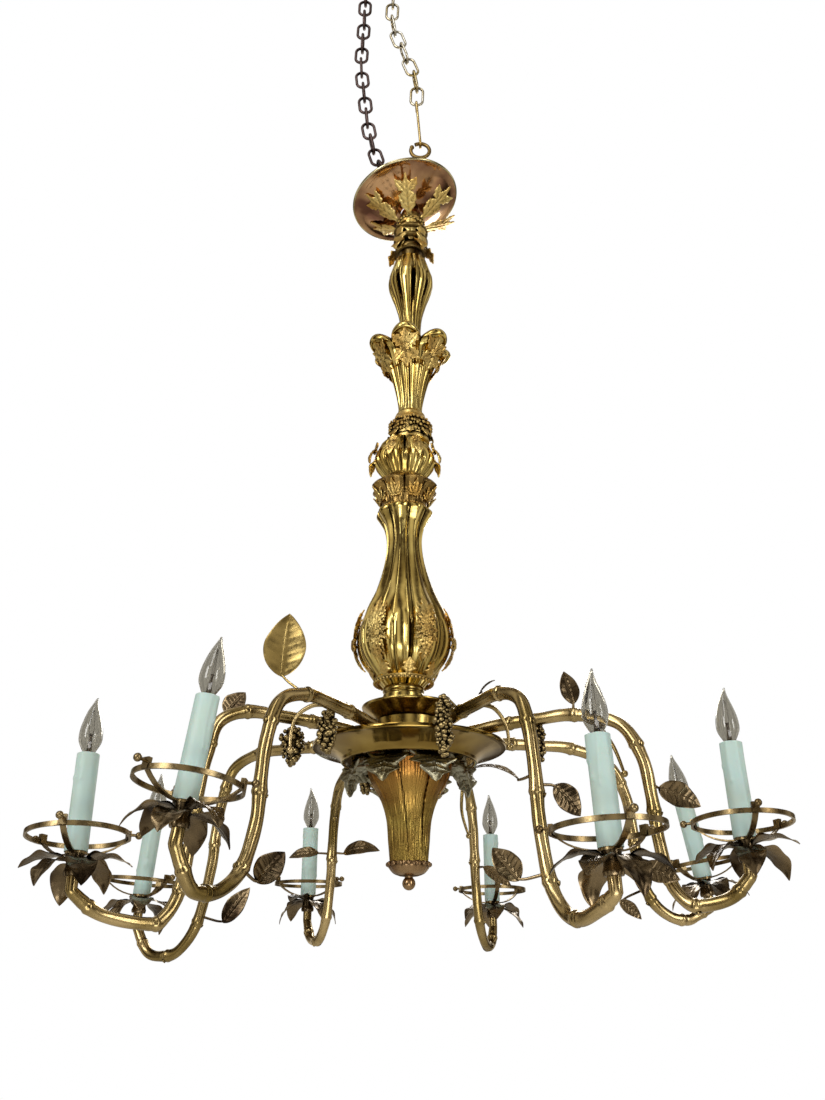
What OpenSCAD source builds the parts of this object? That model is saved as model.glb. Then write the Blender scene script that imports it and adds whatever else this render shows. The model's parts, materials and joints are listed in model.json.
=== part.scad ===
// Eight-arm vine chandelier in gilt brass and bronze, hung on two chains.
// +Z is up. The origin is where the load hook's shank enters the ceiling.

/* [Hanging] */
// Wire of the two ceiling hooks
hook_wire = 6; // [5:0.5:7]
// Inner radius of a ceiling hook's bend
hook_bend_r = 9; // [8:0.5:11]
// Threaded shank of a ceiling hook, inside the ceiling
hook_shank = 32; // [25:1:45]
// Drop from the ceiling to the centre of a hook's bend
hook_drop = 32; // [28:1:45]
// Distance between the load hook and the spare hook
hook_spacing = 53; // [50:1:56]
// Wire of the load chain
load_wire = 4.5; // [4:0.5:5]
// Outer length of a load chain link
load_link = 47.3; // [44:0.1:50]
// Outer width of a load chain link
load_link_w = 26; // [24:1:30]
// Wire of the spare chain
spare_wire = 5; // [4:0.5:5.5]
// Outer length of a spare chain link
spare_link = 42; // [41:0.5:42]
// Outer width of a spare chain link
spare_link_w = 26; // [24:1:28]
// Wire of the S-hook that carries the eye
s_wire = 4.5; // [4:0.5:5]
// Distance between the centres of the S-hook's two bends
s_length = 92.6; // [85:0.1:110]
// Outer diameter of the hanging eye
eye_od = 39; // [36:1:44]
// Wire of the hanging eye
eye_wire = 6.5; // [5.5:0.5:7]
// Height of the eye's top above the ring plane
eye_top = 1207; // [1190:1:1230]

/* [Column] */
// Diameter of the iron rod through the column
rod_d = 13.5; // [10:0.5:14]
// Wall of the cast and spun shells
wall = 2.5; // [1.5:0.1:3]
// Canopy rim diameter
canopy_d = 175; // [160:1:190]
// Height of the canopy's hole above the ring plane
canopy_z = 1050; // [1046:1:1060]
// Depth of the canopy from its rim to its hole
canopy_depth = 28; // [22:1:32]
// Tilt of the loosely hung canopy
canopy_tilt = 11.5; // [0:0.5:13]
// Greatest diameter of the large vase
vase_d = 132; // [120:1:140]
// Top of the large vase above the ring plane
vase_top = 482; // [475:1:490]
// Top of the leaf collar
collar_top = 534; // [528:1:542]
// Top of the shell cup
cup_top = 597; // [590:1:605]
// How far the vase and the pieces round it have settled sideways on the rod, towards -X
vase_rest = 8; // [0:0.5:9]
// Top of the flower collar
flower_top = 645; // [640:1:652]
// Greatest diameter of the goblet's lips
goblet_d = 130; // [122:1:134]
// Top of the goblet's petals
goblet_top = 787; // [783:1:795]
// Top of the pear-shaped baluster
pear_top = 942; // [930:1:955]
// Outer diameter of the pan
pan_d = 254; // [240:1:260]
// Diameter of the upper saucer
saucer_d = 127; // [115:1:135]
// Top of the bell
bell_top = 114; // [112:1:114]
// Diameter of the bell's mouth
bell_d = 114; // [104:1:118]
// Diameter of the finial ball
finial_d = 16.5; // [14:0.5:20]

/* [Arms] */
// Radius of the circle on which the candles stand
ring_circle_r = 413; // [400:1:425]
// Radius at which an arm leaves the hub
root_r = 50; // [46:1:54]
// Height of an arm's root above the ring plane
root_z = 142; // [142:1:143]
// Radius at an arm's highest point
peak_r = 236; // [225:1:245]
// Height of an arm's highest point
peak_z = 151; // [149:1:156]
// Radius of the long downward run
drop_r = 306; // [300:1:310]
// Radius of the lowest point of an arm
dip_r = 365; // [360:1:370]
// Depth of the lowest point below the ring plane
dip_z = 82; // [78:1:86]
// Diameter of an arm where it leaves the hub
arm_d = 16.5; // [14:0.5:17]
// Diameter of an arm at its upturned tip
tip_d = 13; // [11:0.5:14]
// Relief of the knots on the arms, as a share of the radius
knot = 0.14; // [0:0.01:0.2]

/* [Candles] */
// Inside diameter of the shade ring
shade_id = 103; // [98:1:106]
// Outside diameter of the shade ring
shade_od = 108; // [107:1:112]
// Height of the shade ring's band
shade_h = 5; // [4:0.5:7]
// Outside diameter of the candle sleeve
sleeve_d = 24; // [23:0.5:26]
// Length of the candle sleeve
sleeve_h = 104; // [95:1:110]
// Greatest diameter of the bulb
bulb_d = 25.4; // [23:0.2:26]
// Length of the bulb's glass
bulb_h = 64; // [58:1:68]
// Length of a cup leaf
cup_leaf = 56; // [50:1:60]
// Width of a cup leaf
cup_leaf_w = 27; // [20:1:30]
// Thickness of a metal leaf at its midrib
leaf_t = 2; // [1.6:0.1:2.4]

/* [Hidden] */

gilt = "#b8923a";
bronze = "#8a6d35";
dark_leaf = "#4f3d2a";
silver_leaf = "#a8a392";
steel = "#5b5452";
ivory = "#d9ebe2";

// Clearances: between pieces that seat on each other, and round the rod
seat = 0.3;
bore_r = rod_d / 2 + 0.25;
facets = 64;

// Each arm: azimuth from the front (-Y) towards +X, extra height of its candle, how far the
// candle station's front edge is raised, how far the station leans to +X, its lugs' turn, and
// how far its downward run, its lowest point's radius and that point's depth differ
ARMS = [
    [-57, -8, 5, -2, 150, -20, -38, 10], [-30, 20, 5, 6, 234, 0, 20, -7],
    [-115, -14, 0, 4, 80, -10, 3, 30], [-157, 4, -1, 0, 90, -5, 0, 2],
    [161, -4, 1, 0, 35, 5, 18, 8], [26, -22, 2, -2, 40, -9, -2, 14],
    [60, 10, 4, 0, 268, 11, -5, -9], [106, 4, 0, -9, 100, 10, 20, -14]];
STATIONS = [0:7];

// Lean of each chain link from the vertical, towards +X, from the top down
LOAD_LEANS = [-2, -2, 10, 17, 18, 18, 10, -2];
SPARE_LEANS = [-1, -1, -1, -2, -2, -2, 3, 6, 6, 6, 6, 10, 12, 16, 26, 66];
s_lean = 4;
eye_to_rod = [16, -2.7];

hook_z = -hook_drop - hook_bend_r - hook_wire / 2;
load_pitch = load_link - 2 * load_wire - seat;
spare_pitch = spare_link - 2 * spare_wire - seat;

// Sum of the first n chain steps, as [x, z]
function chain_at(leans, pitch, n) = n == 0 ? [0, 0]
    : chain_at(leans, pitch, n - 1) + pitch * down(leans[n - 1]);

// A chain's first joint lies half the seat gap under the first link's inner face
chain_z = hook_z + (hook_wire + seat) / 2;
load_start = [0, chain_z];
load_end = load_start + chain_at(LOAD_LEANS, load_pitch, len(LOAD_LEANS));
function down(lean) = [sin(lean), -cos(lean)];
last_wire = load_end + (load_wire + seat) / 2 * down(last(LOAD_LEANS));
s_r = (max(load_wire, eye_wire) + s_wire) / 2 + seat;
top_slack = s_r - (load_wire + s_wire) / 2 - seat;
low_slack = s_r - (eye_wire + s_wire) / 2 - seat;
eye_wire_at = last_wire + (top_slack + s_length + low_slack) * down(s_lean);
axis_x = eye_wire_at[0] - eye_to_rod[0];
axis_y = -eye_to_rod[1];
ring_z = eye_wire_at[1] - eye_top + eye_wire / 2;

// ---------------------------------------------------------------- shared shapes

function unit(v) = v / norm(v);
function last(list) = list[len(list) - 1];
function mix(a, b, t) = a + (b - a) * t;

// Point at share t between b and c on the smooth curve through a, b, c and d
function spline(a, b, c, d, t) = 0.5 * (2 * b + (c - a) * t
    + (2 * a - 5 * b + 4 * c - d) * t * t + (3 * b - a - 3 * c + d) * t * t * t);

// Smooth curve through the given points, n steps in each span
function curve(p, n) = [for (i = [0:len(p) - 2], s = [0:n - 1])
    spline(p[max(i - 1, 0)], p[i], p[i + 1], p[min(i + 2, len(p) - 1)], s / n), last(p)];

// Closed skin over rings of points that turn by the right hand about their own direction
module loft(rings) {
    m = len(rings[0]);
    points = [for (ring = rings, p = ring) p];
    sides = [for (i = [0:len(rings) - 2], k = [0:m - 1], half = [0, 1])
        let (a = i * m + k, b = i * m + (k + 1) % m)
        half == 0 ? [a, a + m, b + m] : [a, b + m, b]];
    ends = [[for (k = [0:m - 1]) k], [for (k = [m - 1:-1:0]) (len(rings) - 1) * m + k]];
    polyhedron(points, concat(sides, ends), convexity = 8);
}

function heading(path, i) = unit(path[min(i + 1, len(path) - 1)] - path[max(i - 1, 0)]);

// One sideways axis for each point of a path, carried along without twisting
function across(path, i = 0, axis = [0.31, 0.95, 0.05], out = []) = i == len(path) ? out
    : let (t = heading(path, i), a = unit(axis - (axis * t) * t))
    across(path, i + 1, a, concat(out, [a]));

// Round bar along a path, with a radius at each of its points
module bar(path, radii, sides = 8) {
    a = across(path);
    loft([for (i = [0:len(path) - 1]) let (b = cross(heading(path, i), a[i]))
        [for (k = [0:sides - 1]) path[i]
            + radii[i] * (cos(360 * k / sides) * a[i] + sin(360 * k / sides) * b)]]);
}

// Pointed leaf along +X from its stalk: it bends down by curl, and its halves rise by fold
module leaf(length, width, curl = 40, fold = 0.15, lobes = 0, steps = 5) {
    bend = abs(curl) < 1 ? 1 : curl;
    radius = length / bend * 180 / PI;
    loft([for (i = [0:steps]) let (
        u = i / steps,
        a = bend * u,
        c = radius * [sin(a), 0, cos(a) - 1],
        up = [sin(a), 0, cos(a)],
        body = pow(sin(180 * pow(u, 0.8)), 0.8) * (1 + lobes * cos(360 * 3 * u)),
        half = max(width / 2 * body, mix(1, 0.5, u)),
        edge = fold * half * up)
        [c + [0, half, 0] + edge, c + up * leaf_t / 2, c - [0, half, 0] + edge, c - up * leaf_t / 2]]);
}

// Solid of revolution under an outline of [radius, height] points, bored for the rod
module turned(outline, inner = bore_r) {
    rotate_extrude($fn = facets)
        polygon(concat([[inner, outline[0][1]]], [for (p = outline) [p[0], p[1]]],
            [[inner, last(outline)[1]]]));
}

// Radius of an outline of [radius, height] points at a height
function radius_at(outline, z) = lookup(z, [for (p = outline) [p[1], p[0]]]);

// Hollow of a shell: the same outline drawn in by the wall, between its two end plates
module hollow(outline, w = wall) {
    low = outline[0][1] + w;
    high = last(outline)[1] - w;
    grooved = [for (p = outline) [p[0] * (1 - (len(p) > 2 ? p[2] : 0)), p[1]]];
    function inner(z) = [max(radius_at(grooved, z) - w, bore_r + 0.5), z];
    rotate_extrude($fn = facets)
        polygon(concat([[0, low], inner(low)],
            [for (p = outline) if (p[1] > low + 1 && p[1] < high - 1) inner(p[1])],
            [inner(high), [0, high]]));
}

module shell(outline, w = wall) {
    difference() {
        turned(outline);
        hollow(outline, w);
    }
}

// Lobed skin: outline points are [radius, height, depth of the grooves between the lobes], and
// one groove lies at the turn given by start
module lobed(outline, lobes, per = 6, start = 0) {
    m = lobes * per;
    rotate([0, 0, start]) loft([for (p = outline) [for (k = [0:m - 1])
        let (a = 360 * k / m, groove = 1 - pow(abs(sin(lobes * a / 2)), 0.7), r = p[0] * (1 - p[2] * groove))
        [r * cos(a), r * sin(a), p[1]]]]);
}

module lobed_shell(outline, lobes, per = 6, rest = 0, start = 0) {
    difference() {
        translate([-rest, 0, 0]) difference() {
            lobed(outline, lobes, per, start);
            hollow(outline);
        }
        translate([0, 0, outline[0][1] - 1])
            cylinder(r = bore_r, h = last(outline)[1] - outline[0][1] + 2, $fn = facets);
    }
}

// Spray cast in one piece: a small flower with leaves in the plane that faces +X, bent back to
// lie along the lobe behind it
module spray(size, leaves, width = 0.42, curl = 20) {
    for (a = leaves)
        rotate([a - 90, 0, 0]) rotate([0, -90, 0]) translate([size * 0.12, 0, 0])
            leaf(size, size * width, -curl, -0.1, 0.18, 3);
    rotate([0, 90, 0]) translate([0, 0, -leaf_t / 2])
        cylinder(r1 = size * 0.24, r2 = size * 0.16, h = size * 0.18, $fn = 24);
}

// Frame of the chandelier itself, with its ring plane at height 0
module fixture() {
    translate([axis_x, axis_y, ring_z]) children();
}

module ring_of(count, start = 0) {
    for (k = [0:count - 1]) rotate([0, 0, start + 360 * k / count]) children();
}

// ---------------------------------------------------------------- hooks and chains

// Wire bent round in the X-Z plane, from angle a over sweep degrees, about its own centre
module bend(r, wire, a, sweep) {
    rotate([90, 0, 0]) rotate([0, 0, a])
        rotate_extrude(angle = sweep, $fn = facets) translate([r, 0]) circle(d = wire, $fn = 32);
}

module ceiling_hook() {
    r = hook_bend_r + hook_wire / 2;
    turn_z = -hook_drop;
    // The shank stands on the hook's centre line, so the bend starts from a short crank
    cylinder(d = hook_wire, h = hook_shank, $fn = 48);
    translate([0, 0, -3]) cylinder(r = 14, h = 3, $fn = 48);
    translate([0, 0, turn_z + r]) cylinder(d = hook_wire, h = -turn_z - r - 1, $fn = 48);
    translate([0, 0, turn_z]) bend(r, hook_wire, 180, 270);
    translate([0, 0, turn_z + r]) sphere(d = hook_wire, $fn = 32);
    translate([-r, 0, turn_z]) sphere(d = hook_wire, $fn = 32);
}

// Long link, centred, standing along Z in the X-Z plane
module link(length, width, wire) {
    r = (width - wire) / 2;
    half = (length - width) / 2;
    for (s = [0, 180]) rotate([0, s, 0]) {
        translate([0, 0, half]) bend(r, wire, 0, 180);
        translate([r, 0, -half]) cylinder(d = wire, h = 2 * half, $fn = 32);
    }
}

// Links hung from start, edge on and face on in turn
module chain(start, leans, pitch, length, width, wire) {
    for (n = [0:len(leans) - 1]) {
        at = start + chain_at(leans, pitch, n) + pitch / 2 * down(leans[n]);
        translate([at[0], 0, at[1]]) rotate([0, -leans[n], 0]) rotate([0, 0, n % 2 == 0 ? 90 : 0])
            link(length, width, wire);
    }
}

module load_hook() {
    color(steel) ceiling_hook();
}

module spare_hook() {
    color(steel) translate([-hook_spacing, 0, 0]) ceiling_hook();
}

module load_chain() {
    color("#b9b5a4") chain(load_start, LOAD_LEANS, load_pitch, load_link, load_link_w, load_wire);
}

module spare_chain() {
    color(steel)
        chain([-hook_spacing, chain_z], SPARE_LEANS, spare_pitch, spare_link, spare_link_w, spare_wire);
}

// Wire hook in the plane across the chain: its upper bend holds the last link, its lower the eye
module s_hook() {
    tail = 9;
    color("#c3a667") translate([last_wire[0], 0, last_wire[1]]) rotate([0, -s_lean, 0])
        translate([0, 0, -top_slack]) rotate([0, 0, 90]) {
            bend(s_r, s_wire, 0, 180);
            translate([0, 0, -s_length]) bend(s_r, s_wire, 180, 180);
            translate([s_r, 0, -tail]) cylinder(d = s_wire, h = tail, $fn = 32);
            translate([s_r, 0, -s_length]) cylinder(d = s_wire, h = tail, $fn = 32);
            translate([-s_r, 0, -s_length]) cylinder(d = s_wire, h = s_length, $fn = 32);
        }
}

// Open eye, bent from bar, whose shank is screwed on the top of the rod
module hanging_eye() {
    r = (eye_od - eye_wire) / 2;
    eye_z = eye_top - eye_od / 2;
    foot_z = rod_top - 2;
    gap = 30;
    neck = [eye_to_rod[0] * 0.82, eye_to_rod[1], eye_z - r];
    run = neck - [0, 0, foot_z + 12];
    color("#6e5f43") fixture() {
        translate([eye_to_rod[0], eye_to_rod[1], eye_z]) {
            bend(r, eye_wire, 152, 360 - gap);
            rotate([0, -152, 0]) translate([r, 0, 0]) sphere(d = eye_wire + 1.5, $fn = 32);
        }
        translate([0, 0, foot_z + 12])
            rotate([0, atan2(norm([run[0], run[1]]), run[2]), atan2(run[1], run[0])])
            cylinder(r1 = rod_d / 2 + 1, r2 = eye_wire / 2 - 0.4, h = norm(run), $fn = 32);
        difference() {
            translate([0, 0, foot_z]) cylinder(r = rod_d / 2 + 2.4, h = 14, $fn = 48);
            translate([0, 0, foot_z - 1]) cylinder(r = bore_r, h = 4, $fn = 48);
        }
    }
}

// ---------------------------------------------------------------- column

rod_top = 1140;
rod_low = -35;
finial_z = -33;
collar_low = -24;
bell_low = -8;
pan_web_z = 118;
hub_low = pan_web_z + 2.5 + seat;
hub_top = 171;
saucer_top = 191;
neck_top = 217;

module centre_rod() {
    color(steel) fixture() {
        translate([0, 0, collar_low]) cylinder(d = rod_d, h = rod_top - collar_low, $fn = 48);
        translate([0, 0, rod_low]) cylinder(r = 3.2, h = collar_low - rod_low + 1, $fn = 32);
    }
}

module finial() {
    color(bronze) fixture() difference() {
        union() {
            translate([0, 0, finial_z]) sphere(d = finial_d, $fn = 48);
            translate([0, 0, finial_z]) cylinder(r = 5.5, h = collar_low - seat - finial_z, $fn = 48);
        }
        translate([0, 0, rod_low - seat]) cylinder(r = 3.5, h = 30, $fn = 32);
    }
}

// Cup with a beaded rim that closes the foot of the bell
module bell_collar() {
    outline = [[13, collar_low], [20, -21], [25, -15], [26, -11], [25.5, bell_low - seat]];
    color(gilt) fixture() difference() {
        union() {
            turned(curve(outline, 3));
            ring_of(16) translate([26, 0, -11]) sphere(r = 3.4, $fn = 24);
        }
        translate([0, 0, -25]) cylinder(r = bore_r, h = 20, $fn = 48);
    }
}

module bell() {
    outline = [[24.4, bell_low], [26.6, 16], [29.4, 45], [37.4, 70], [50, 92], [bell_d / 2, bell_top]];
    color("#a07a2c") fixture() shell(curve(outline, 4));
}

// Ring of eight leaves that fold out over the bell's mouth, below the pan
module acanthus_crown() {
    z = bell_top + seat + leaf_t / 2;
    color(silver_leaf) fixture() {
        difference() {
            translate([0, 0, z - leaf_t / 2]) cylinder(r = bell_d / 2 - 2, h = leaf_t, $fn = facets);
            translate([0, 0, z - 5]) cylinder(r = bore_r, h = 10, $fn = 48);
        }
        ring_of(8, 22.5) translate([bell_d / 2 - 4, 0, z]) leaf(48, 44, 66, 0.1, 0.16, 8);
    }
}

// Wide dish under the arms: a flat web, a cove and an upright band with a rim below it
module pan() {
    r = pan_d / 2;
    web = pan_web_z;
    color(gilt) fixture() rotate_extrude($fn = 96) polygon([
        [bore_r, web], [r - 44, web], [r - 44, web - 2.5], [r - 38, web - 2.5], [r - 37, web + 1],
        [r - 30, web + 6], [r - 16, web + 12], [r - 6, web + 15], [r, web + 16], [r, web + 21],
        [r - wall, web + 21], [r - wall, web + 18.5], [r - 8, web + 17.5], [r - 18, web + 14.5],
        [r - 32, web + 8.5], [r - 40, web + 2.5], [bore_r, web + 2.5]]);
}

// Drum with a boss for each arm
module arm_hub() {
    color(bronze) fixture() difference() {
        union() {
            translate([0, 0, hub_low]) cylinder(r = 34, h = hub_top - hub_low, $fn = facets);
            translate([0, 0, root_z + 10])
                cylinder(r1 = 40, r2 = 44, h = hub_top - root_z - 10, $fn = facets);
            for (i = STATIONS) rotate([0, 0, ARMS[i][0] - 90]) translate([20, 0, root_z])
                rotate([0, 90, 0]) cylinder(d = arm_d - 1.5, h = root_r - seat - 20, $fn = 32);
        }
        translate([0, 0, hub_low - 1]) cylinder(r = bore_r, h = hub_top - hub_low + 2, $fn = 48);
        translate([0, 0, hub_low + 4]) cylinder(r = 16, h = hub_top - hub_low - 8, $fn = 48);
    }
}

module saucer() {
    r = saucer_d / 2;
    z = hub_top + seat;
    color(gilt) fixture()
        turned([[40, z], [46, z + 3], [r - 6, z + 12], [r, z + 17], [r, saucer_top - seat]]);
}

module neck_collar() {
    z = saucer_top;
    color(gilt) fixture() difference() {
        translate([-vase_rest, 0, 0]) turned(curve([[30, z], [27.6, z + 3], [27.2, z + 9], [27.6, z + 15],
            [26.4, z + 18], [28, neck_top - 5], [27, neck_top - seat]], 3), 0);
        translate([0, 0, z - 1]) cylinder(r = bore_r, h = neck_top - z + 2, $fn = 48);
    }
}

// Eight-lobed vase, the largest piece of the column
vase_outline = curve([[26, neck_top, 0.04], [44, neck_top + 18, 0.08], [61, neck_top + 42, 0.1],
    [vase_d / 2, neck_top + 70, 0.1], [58, neck_top + 104, 0.1], [42, neck_top + 140, 0.09],
    [30, neck_top + 180, 0.08], [25.5, neck_top + 213, 0.07], [29, vase_top - 28, 0.09],
    [36, vase_top - 14, 0.12], [40.8, vase_top - 5, 0.12], [33, vase_top, 0.03]], 2);

vase_start = 10;

module vase() {
    color(gilt) fixture() lobed_shell(vase_outline, 8, 5, vase_rest, vase_start);
}

// Six flowering sprays round the belly, and a leafy edge under the bulb
module vase_sprays() {
    belly_z = neck_top + 74;
    edge_z = neck_top + 5;
    edge_r = radius_at(vase_outline, edge_z + 5) + seat;
    color("#c79a3c") fixture() translate([-vase_rest, 0, 0]) {
        ring_of(6, -3) translate([radius_at(vase_outline, belly_z) + leaf_t / 2 + 2 * seat, 0, belly_z])
            spray(34, [90, 44, 136, 270, 214, 326], 0.42, 15);
        ring_of(8, vase_start) translate([edge_r + 2.5, 0, edge_z + 3]) rotate([0, -52, 0])
            leaf(24, 17, -24, 0.1, 0.15, 4);
        difference() {
            translate([0, 0, edge_z]) cylinder(r1 = edge_r + 1.5, r2 = edge_r + 4, h = 5, $fn = facets);
            translate([0, 0, edge_z - 1]) cylinder(r = edge_r, h = 7, $fn = facets);
        }
    }
}

module leaf_collar() {
    z = vase_top + seat;
    h = collar_top - z - seat;
    outline = curve([[31, z, 0.02], [35, z + 0.34 * h, 0.09], [42, z + 0.63 * h, 0.14],
        [47.5, z + 0.84 * h, 0.16], [43, z + 0.92 * h, 0.1], [30, z + h, 0.02]], 2);
    color("#b8903f") fixture() lobed_shell(outline, 8, 5, vase_rest);
}

cup_h = cup_top - collar_top - seat;
cup_outline = curve([[25, collar_top, 0.03], [30, collar_top + 0.2 * cup_h, 0.09],
    [36, collar_top + 0.42 * cup_h, 0.12], [43, collar_top + 0.66 * cup_h, 0.15],
    [47, collar_top + 0.84 * cup_h, 0.18], [45, collar_top + 0.93 * cup_h, 0.14],
    [33, collar_top + cup_h, 0.03]], 2);

module shell_cup() {
    color(gilt) fixture() lobed_shell(cup_outline, 8, 5, vase_rest);
}

module cup_sprays() {
    z = collar_top + 0.74 * cup_h;
    color("#c79a3c") fixture() translate([-vase_rest, 0, 0])
        ring_of(8, 22.5) translate([radius_at(cup_outline, z) + seat + 2.5, 0, z]) {
            rotate([0, -82, 0]) leaf(20, 17, -20, 0.1, 0.2, 4);
            rotate([0, 98, 0]) leaf(30, 18, -42, 0.1, 0.2);
            sphere(d = 5, $fn = 24);
        }
}

// Ring of rough flowers with pointed tips below
module flower_collar() {
    z = cup_top;
    color("#b58c3c") fixture() {
        difference() {
            union() {
                turned(curve([[30, z + 8], [33.5, z + 13], [31, z + 21], [33.5, z + 29], [30, z + 36],
                    [24, z + 42], [22.5, flower_top - seat]], 3));
                turned([[29, z], [29, z + 5], [26, z + 6], [26, z + 10]]);
                ring_of(10) translate([32, 0, z + 21]) sphere(d = 7, $fn = 20);
            }
            translate([0, 0, z - 1]) cylinder(r = bore_r, h = 60, $fn = 48);
        }
        ring_of(8) translate([33.5, 0, z + 13]) rotate([0, 78, 0]) leaf(11, 17, -14, 0.1, 0, 3);
    }
}

// Fluted goblet of six petals with rolled lips
goblet_h = goblet_top - flower_top;
petal_turn = -9;
goblet_r = goblet_d / 2;
goblet_outline = curve([[21.5, flower_top, 0.02], [18.5, flower_top + 0.07 * goblet_h, 0.06],
    [21, flower_top + 0.22 * goblet_h, 0.1], [28, flower_top + 0.44 * goblet_h, 0.13],
    [36.5, flower_top + 0.64 * goblet_h, 0.16], [goblet_r - 18, flower_top + 0.8 * goblet_h, 0.2],
    [goblet_r - 6, flower_top + 0.9 * goblet_h, 0.24], [goblet_r, flower_top + 0.96 * goblet_h, 0.28],
    [goblet_r - 3, goblet_top, 0.3]], 2);

module goblet() {
    z = goblet_floor;
    cup = [[17.5, z], [22, mix(z, goblet_top, 0.3)], [goblet_r - 27, goblet_top + 1]];
    color(gilt) fixture() difference() {
        lobed(goblet_outline, 6, 6, petal_turn);
        translate([0, 0, flower_top - 1]) cylinder(r = bore_r, h = goblet_h + 2, $fn = 48);
        turned(cup, 0);
        hollow([for (p = goblet_outline) if (p[1] < z) [p[0], p[1], 0.16]]);
    }
}

module goblet_sprays() {
    z = flower_top + 0.68 * goblet_h;
    slope = 25;
    // The petals flare faster than the straight spray, so its middle stands off by this much
    stand_off = 3.8;
    color("#c79a3c") fixture() ring_of(6, 30 + petal_turn)
        translate([radius_at(goblet_outline, z) + (leaf_t / 2 + seat) / cos(slope) + stand_off, 0, z])
        rotate([0, slope, 0]) spray(22, [90, 45, 135, 270, 225, 315], 0.46, 6);
}

goblet_floor = 768;

// Fluted pear standing in the goblet
module pear_baluster() {
    z = goblet_floor + seat;
    h = pear_top - z - seat;
    outline = curve([[15, z, 0.02], [15.5, z + 0.1 * h, 0.05], [17.5, z + 0.32 * h, 0.1],
        [25, z + 0.5 * h, 0.14], [36, z + 0.7 * h, 0.15], [34, z + 0.83 * h, 0.14], [25, z + h, 0.05]], 2);
    color(gilt) fixture() lobed_shell(outline, 8, 5, 0, 8);
}

// Plain tube with two rings between the pear and the canopy
module upper_stem() {
    z = pear_top;
    color("#4a3d2c") fixture() turned([[21, z], [21, z + 14], [26, z + 17], [26, z + 23], [20, z + 26],
        [17, z + 34], [17, stem_top - 8], [19, stem_top - 6], [19, stem_top - seat]]);
}

slip_r = 16;
slip_top = canopy_z - slip_r * tan(canopy_tilt) - seat;
stem_top = slip_top - 10;

// Tall leaves laid up the stem, and six that fan out under the canopy
module canopy_sprays() {
    ring_z = stem_top - 20;
    color("#c9a24a") fixture() {
        ring_of(4, 45) translate([26 + leaf_t / 2 + seat, 0, pear_top + 12]) rotate([0, -88, 0])
            leaf(56, 22, -6, 0.12, 0.2, 6);
        ring_of(4) translate([20.8, 0, pear_top + 32]) rotate([0, -90, 0]) leaf(54, 20, 4, 0.12, 0.2, 6);
        difference() {
            translate([0, 0, ring_z]) cylinder(r = 21.5, h = 9, $fn = 48);
            translate([0, 0, ring_z - 1]) cylinder(r = 17 + seat, h = 11, $fn = 48);
        }
        translate([0, 0, ring_z + 6]) ring_of(6, 23) translate([20, 0, 0]) rotate([0, -24, 0])
            leaf(66, 27, -14, 0.14, 0.22, 8);
    }
}

// Slip ring that the canopy rests on
module canopy_collar() {
    color(bronze) fixture() difference() {
        translate([0, 0, stem_top]) cylinder(r1 = 19, r2 = slip_r, h = slip_top - stem_top, $fn = 48);
        translate([0, 0, stem_top - 1]) cylinder(r = bore_r, h = 60, $fn = 48);
    }
}

// Spun dish with its rolled rim upwards, threaded loosely on the rod through its lowest point
module canopy() {
    r = canopy_d / 2;
    t = 1.6;
    hole = 12.5;
    under = curve([[hole, 0], [30, 0.05 * canopy_depth], [52, 0.36 * canopy_depth], [68, 0.7 * canopy_depth],
        [r - 8, 0.88 * canopy_depth], [r, canopy_depth - 3]], 3);
    top = [for (k = [len(under) - 1:-1:0]) [k == 0 ? hole : under[k][0] - 0.4, under[k][1] + t]];
    color("#7d4a33") fixture() translate([bore_r - hole + 1, 0, canopy_z]) rotate([-3, -canopy_tilt, 0])
        rotate_extrude($fn = 96) polygon(concat(under,
            [[r + 2, canopy_depth - 2.5], [r + 2, canopy_depth + 1], [r - 1.6, canopy_depth + 1]], top));
}

// ---------------------------------------------------------------- arms

function azimuth(i) = ARMS[i][0];
function outward(i) = [sin(azimuth(i)), -cos(azimuth(i)), 0];
function station_axis(i) = let (a = -ARMS[i][2], b = ARMS[i][3])
    [sin(b) * cos(a), -sin(a), cos(b) * cos(a)];
function station_at(i) = ring_circle_r * outward(i) + [0, 0, ARMS[i][1]];

cup_low = -42;
spider_z = -20;

// Centre line of an arm: out of the hub, over the pan, down and up again to its station
function arm_path(i) = let (
    seat_at = station_at(i) + cup_low * station_axis(i),
    r = drop_r + ARMS[i][5],
    low_r = dip_r + ARMS[i][6],
    low_z = -dip_z - ARMS[i][7],
    run = [[root_r + 1.5, root_z], [root_r + 12, root_z + 1.6], [125, root_z + 8.5], [185, peak_z + 1],
        [peak_r - 4, peak_z], [mix(peak_r, r, 0.62), peak_z - 18], [r - 7, 92], [r, 45], [r + 3, 0],
        [mix(r, low_r, 0.26), mix(0, low_z, 0.62)], [mix(r, low_r, 0.62), mix(0, low_z, 0.93)],
        [low_r, low_z], [mix(low_r, ring_circle_r, 0.6), low_z + 7]],
    bent = [for (p = run) p[0] * outward(i) + [0, 0, p[1]]])
    concat([root_r * outward(i) + [0, 0, root_z]], curve(concat(bent, [seat_at - 14 * station_axis(i)]), 3),
        [seat_at - 6 * station_axis(i), seat_at]);

// Radius along an arm, with a swelling at every fifth point for the knots of the branch
function arm_radius(k, n) = mix(arm_d, tip_d, pow(k / n, 0.8)) / 2
    * (k > 1 && k < n - 3 && k % 5 == 3 ? 1 + knot : 1);

// Nearest point to p on the straight from a to b, with its share of the way
function foot_on(a, b, p) = let (t = max(0, min(1, (p - a) * (b - a) / ((b - a) * (b - a)))))
    [mix(a, b, t), t];

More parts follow.
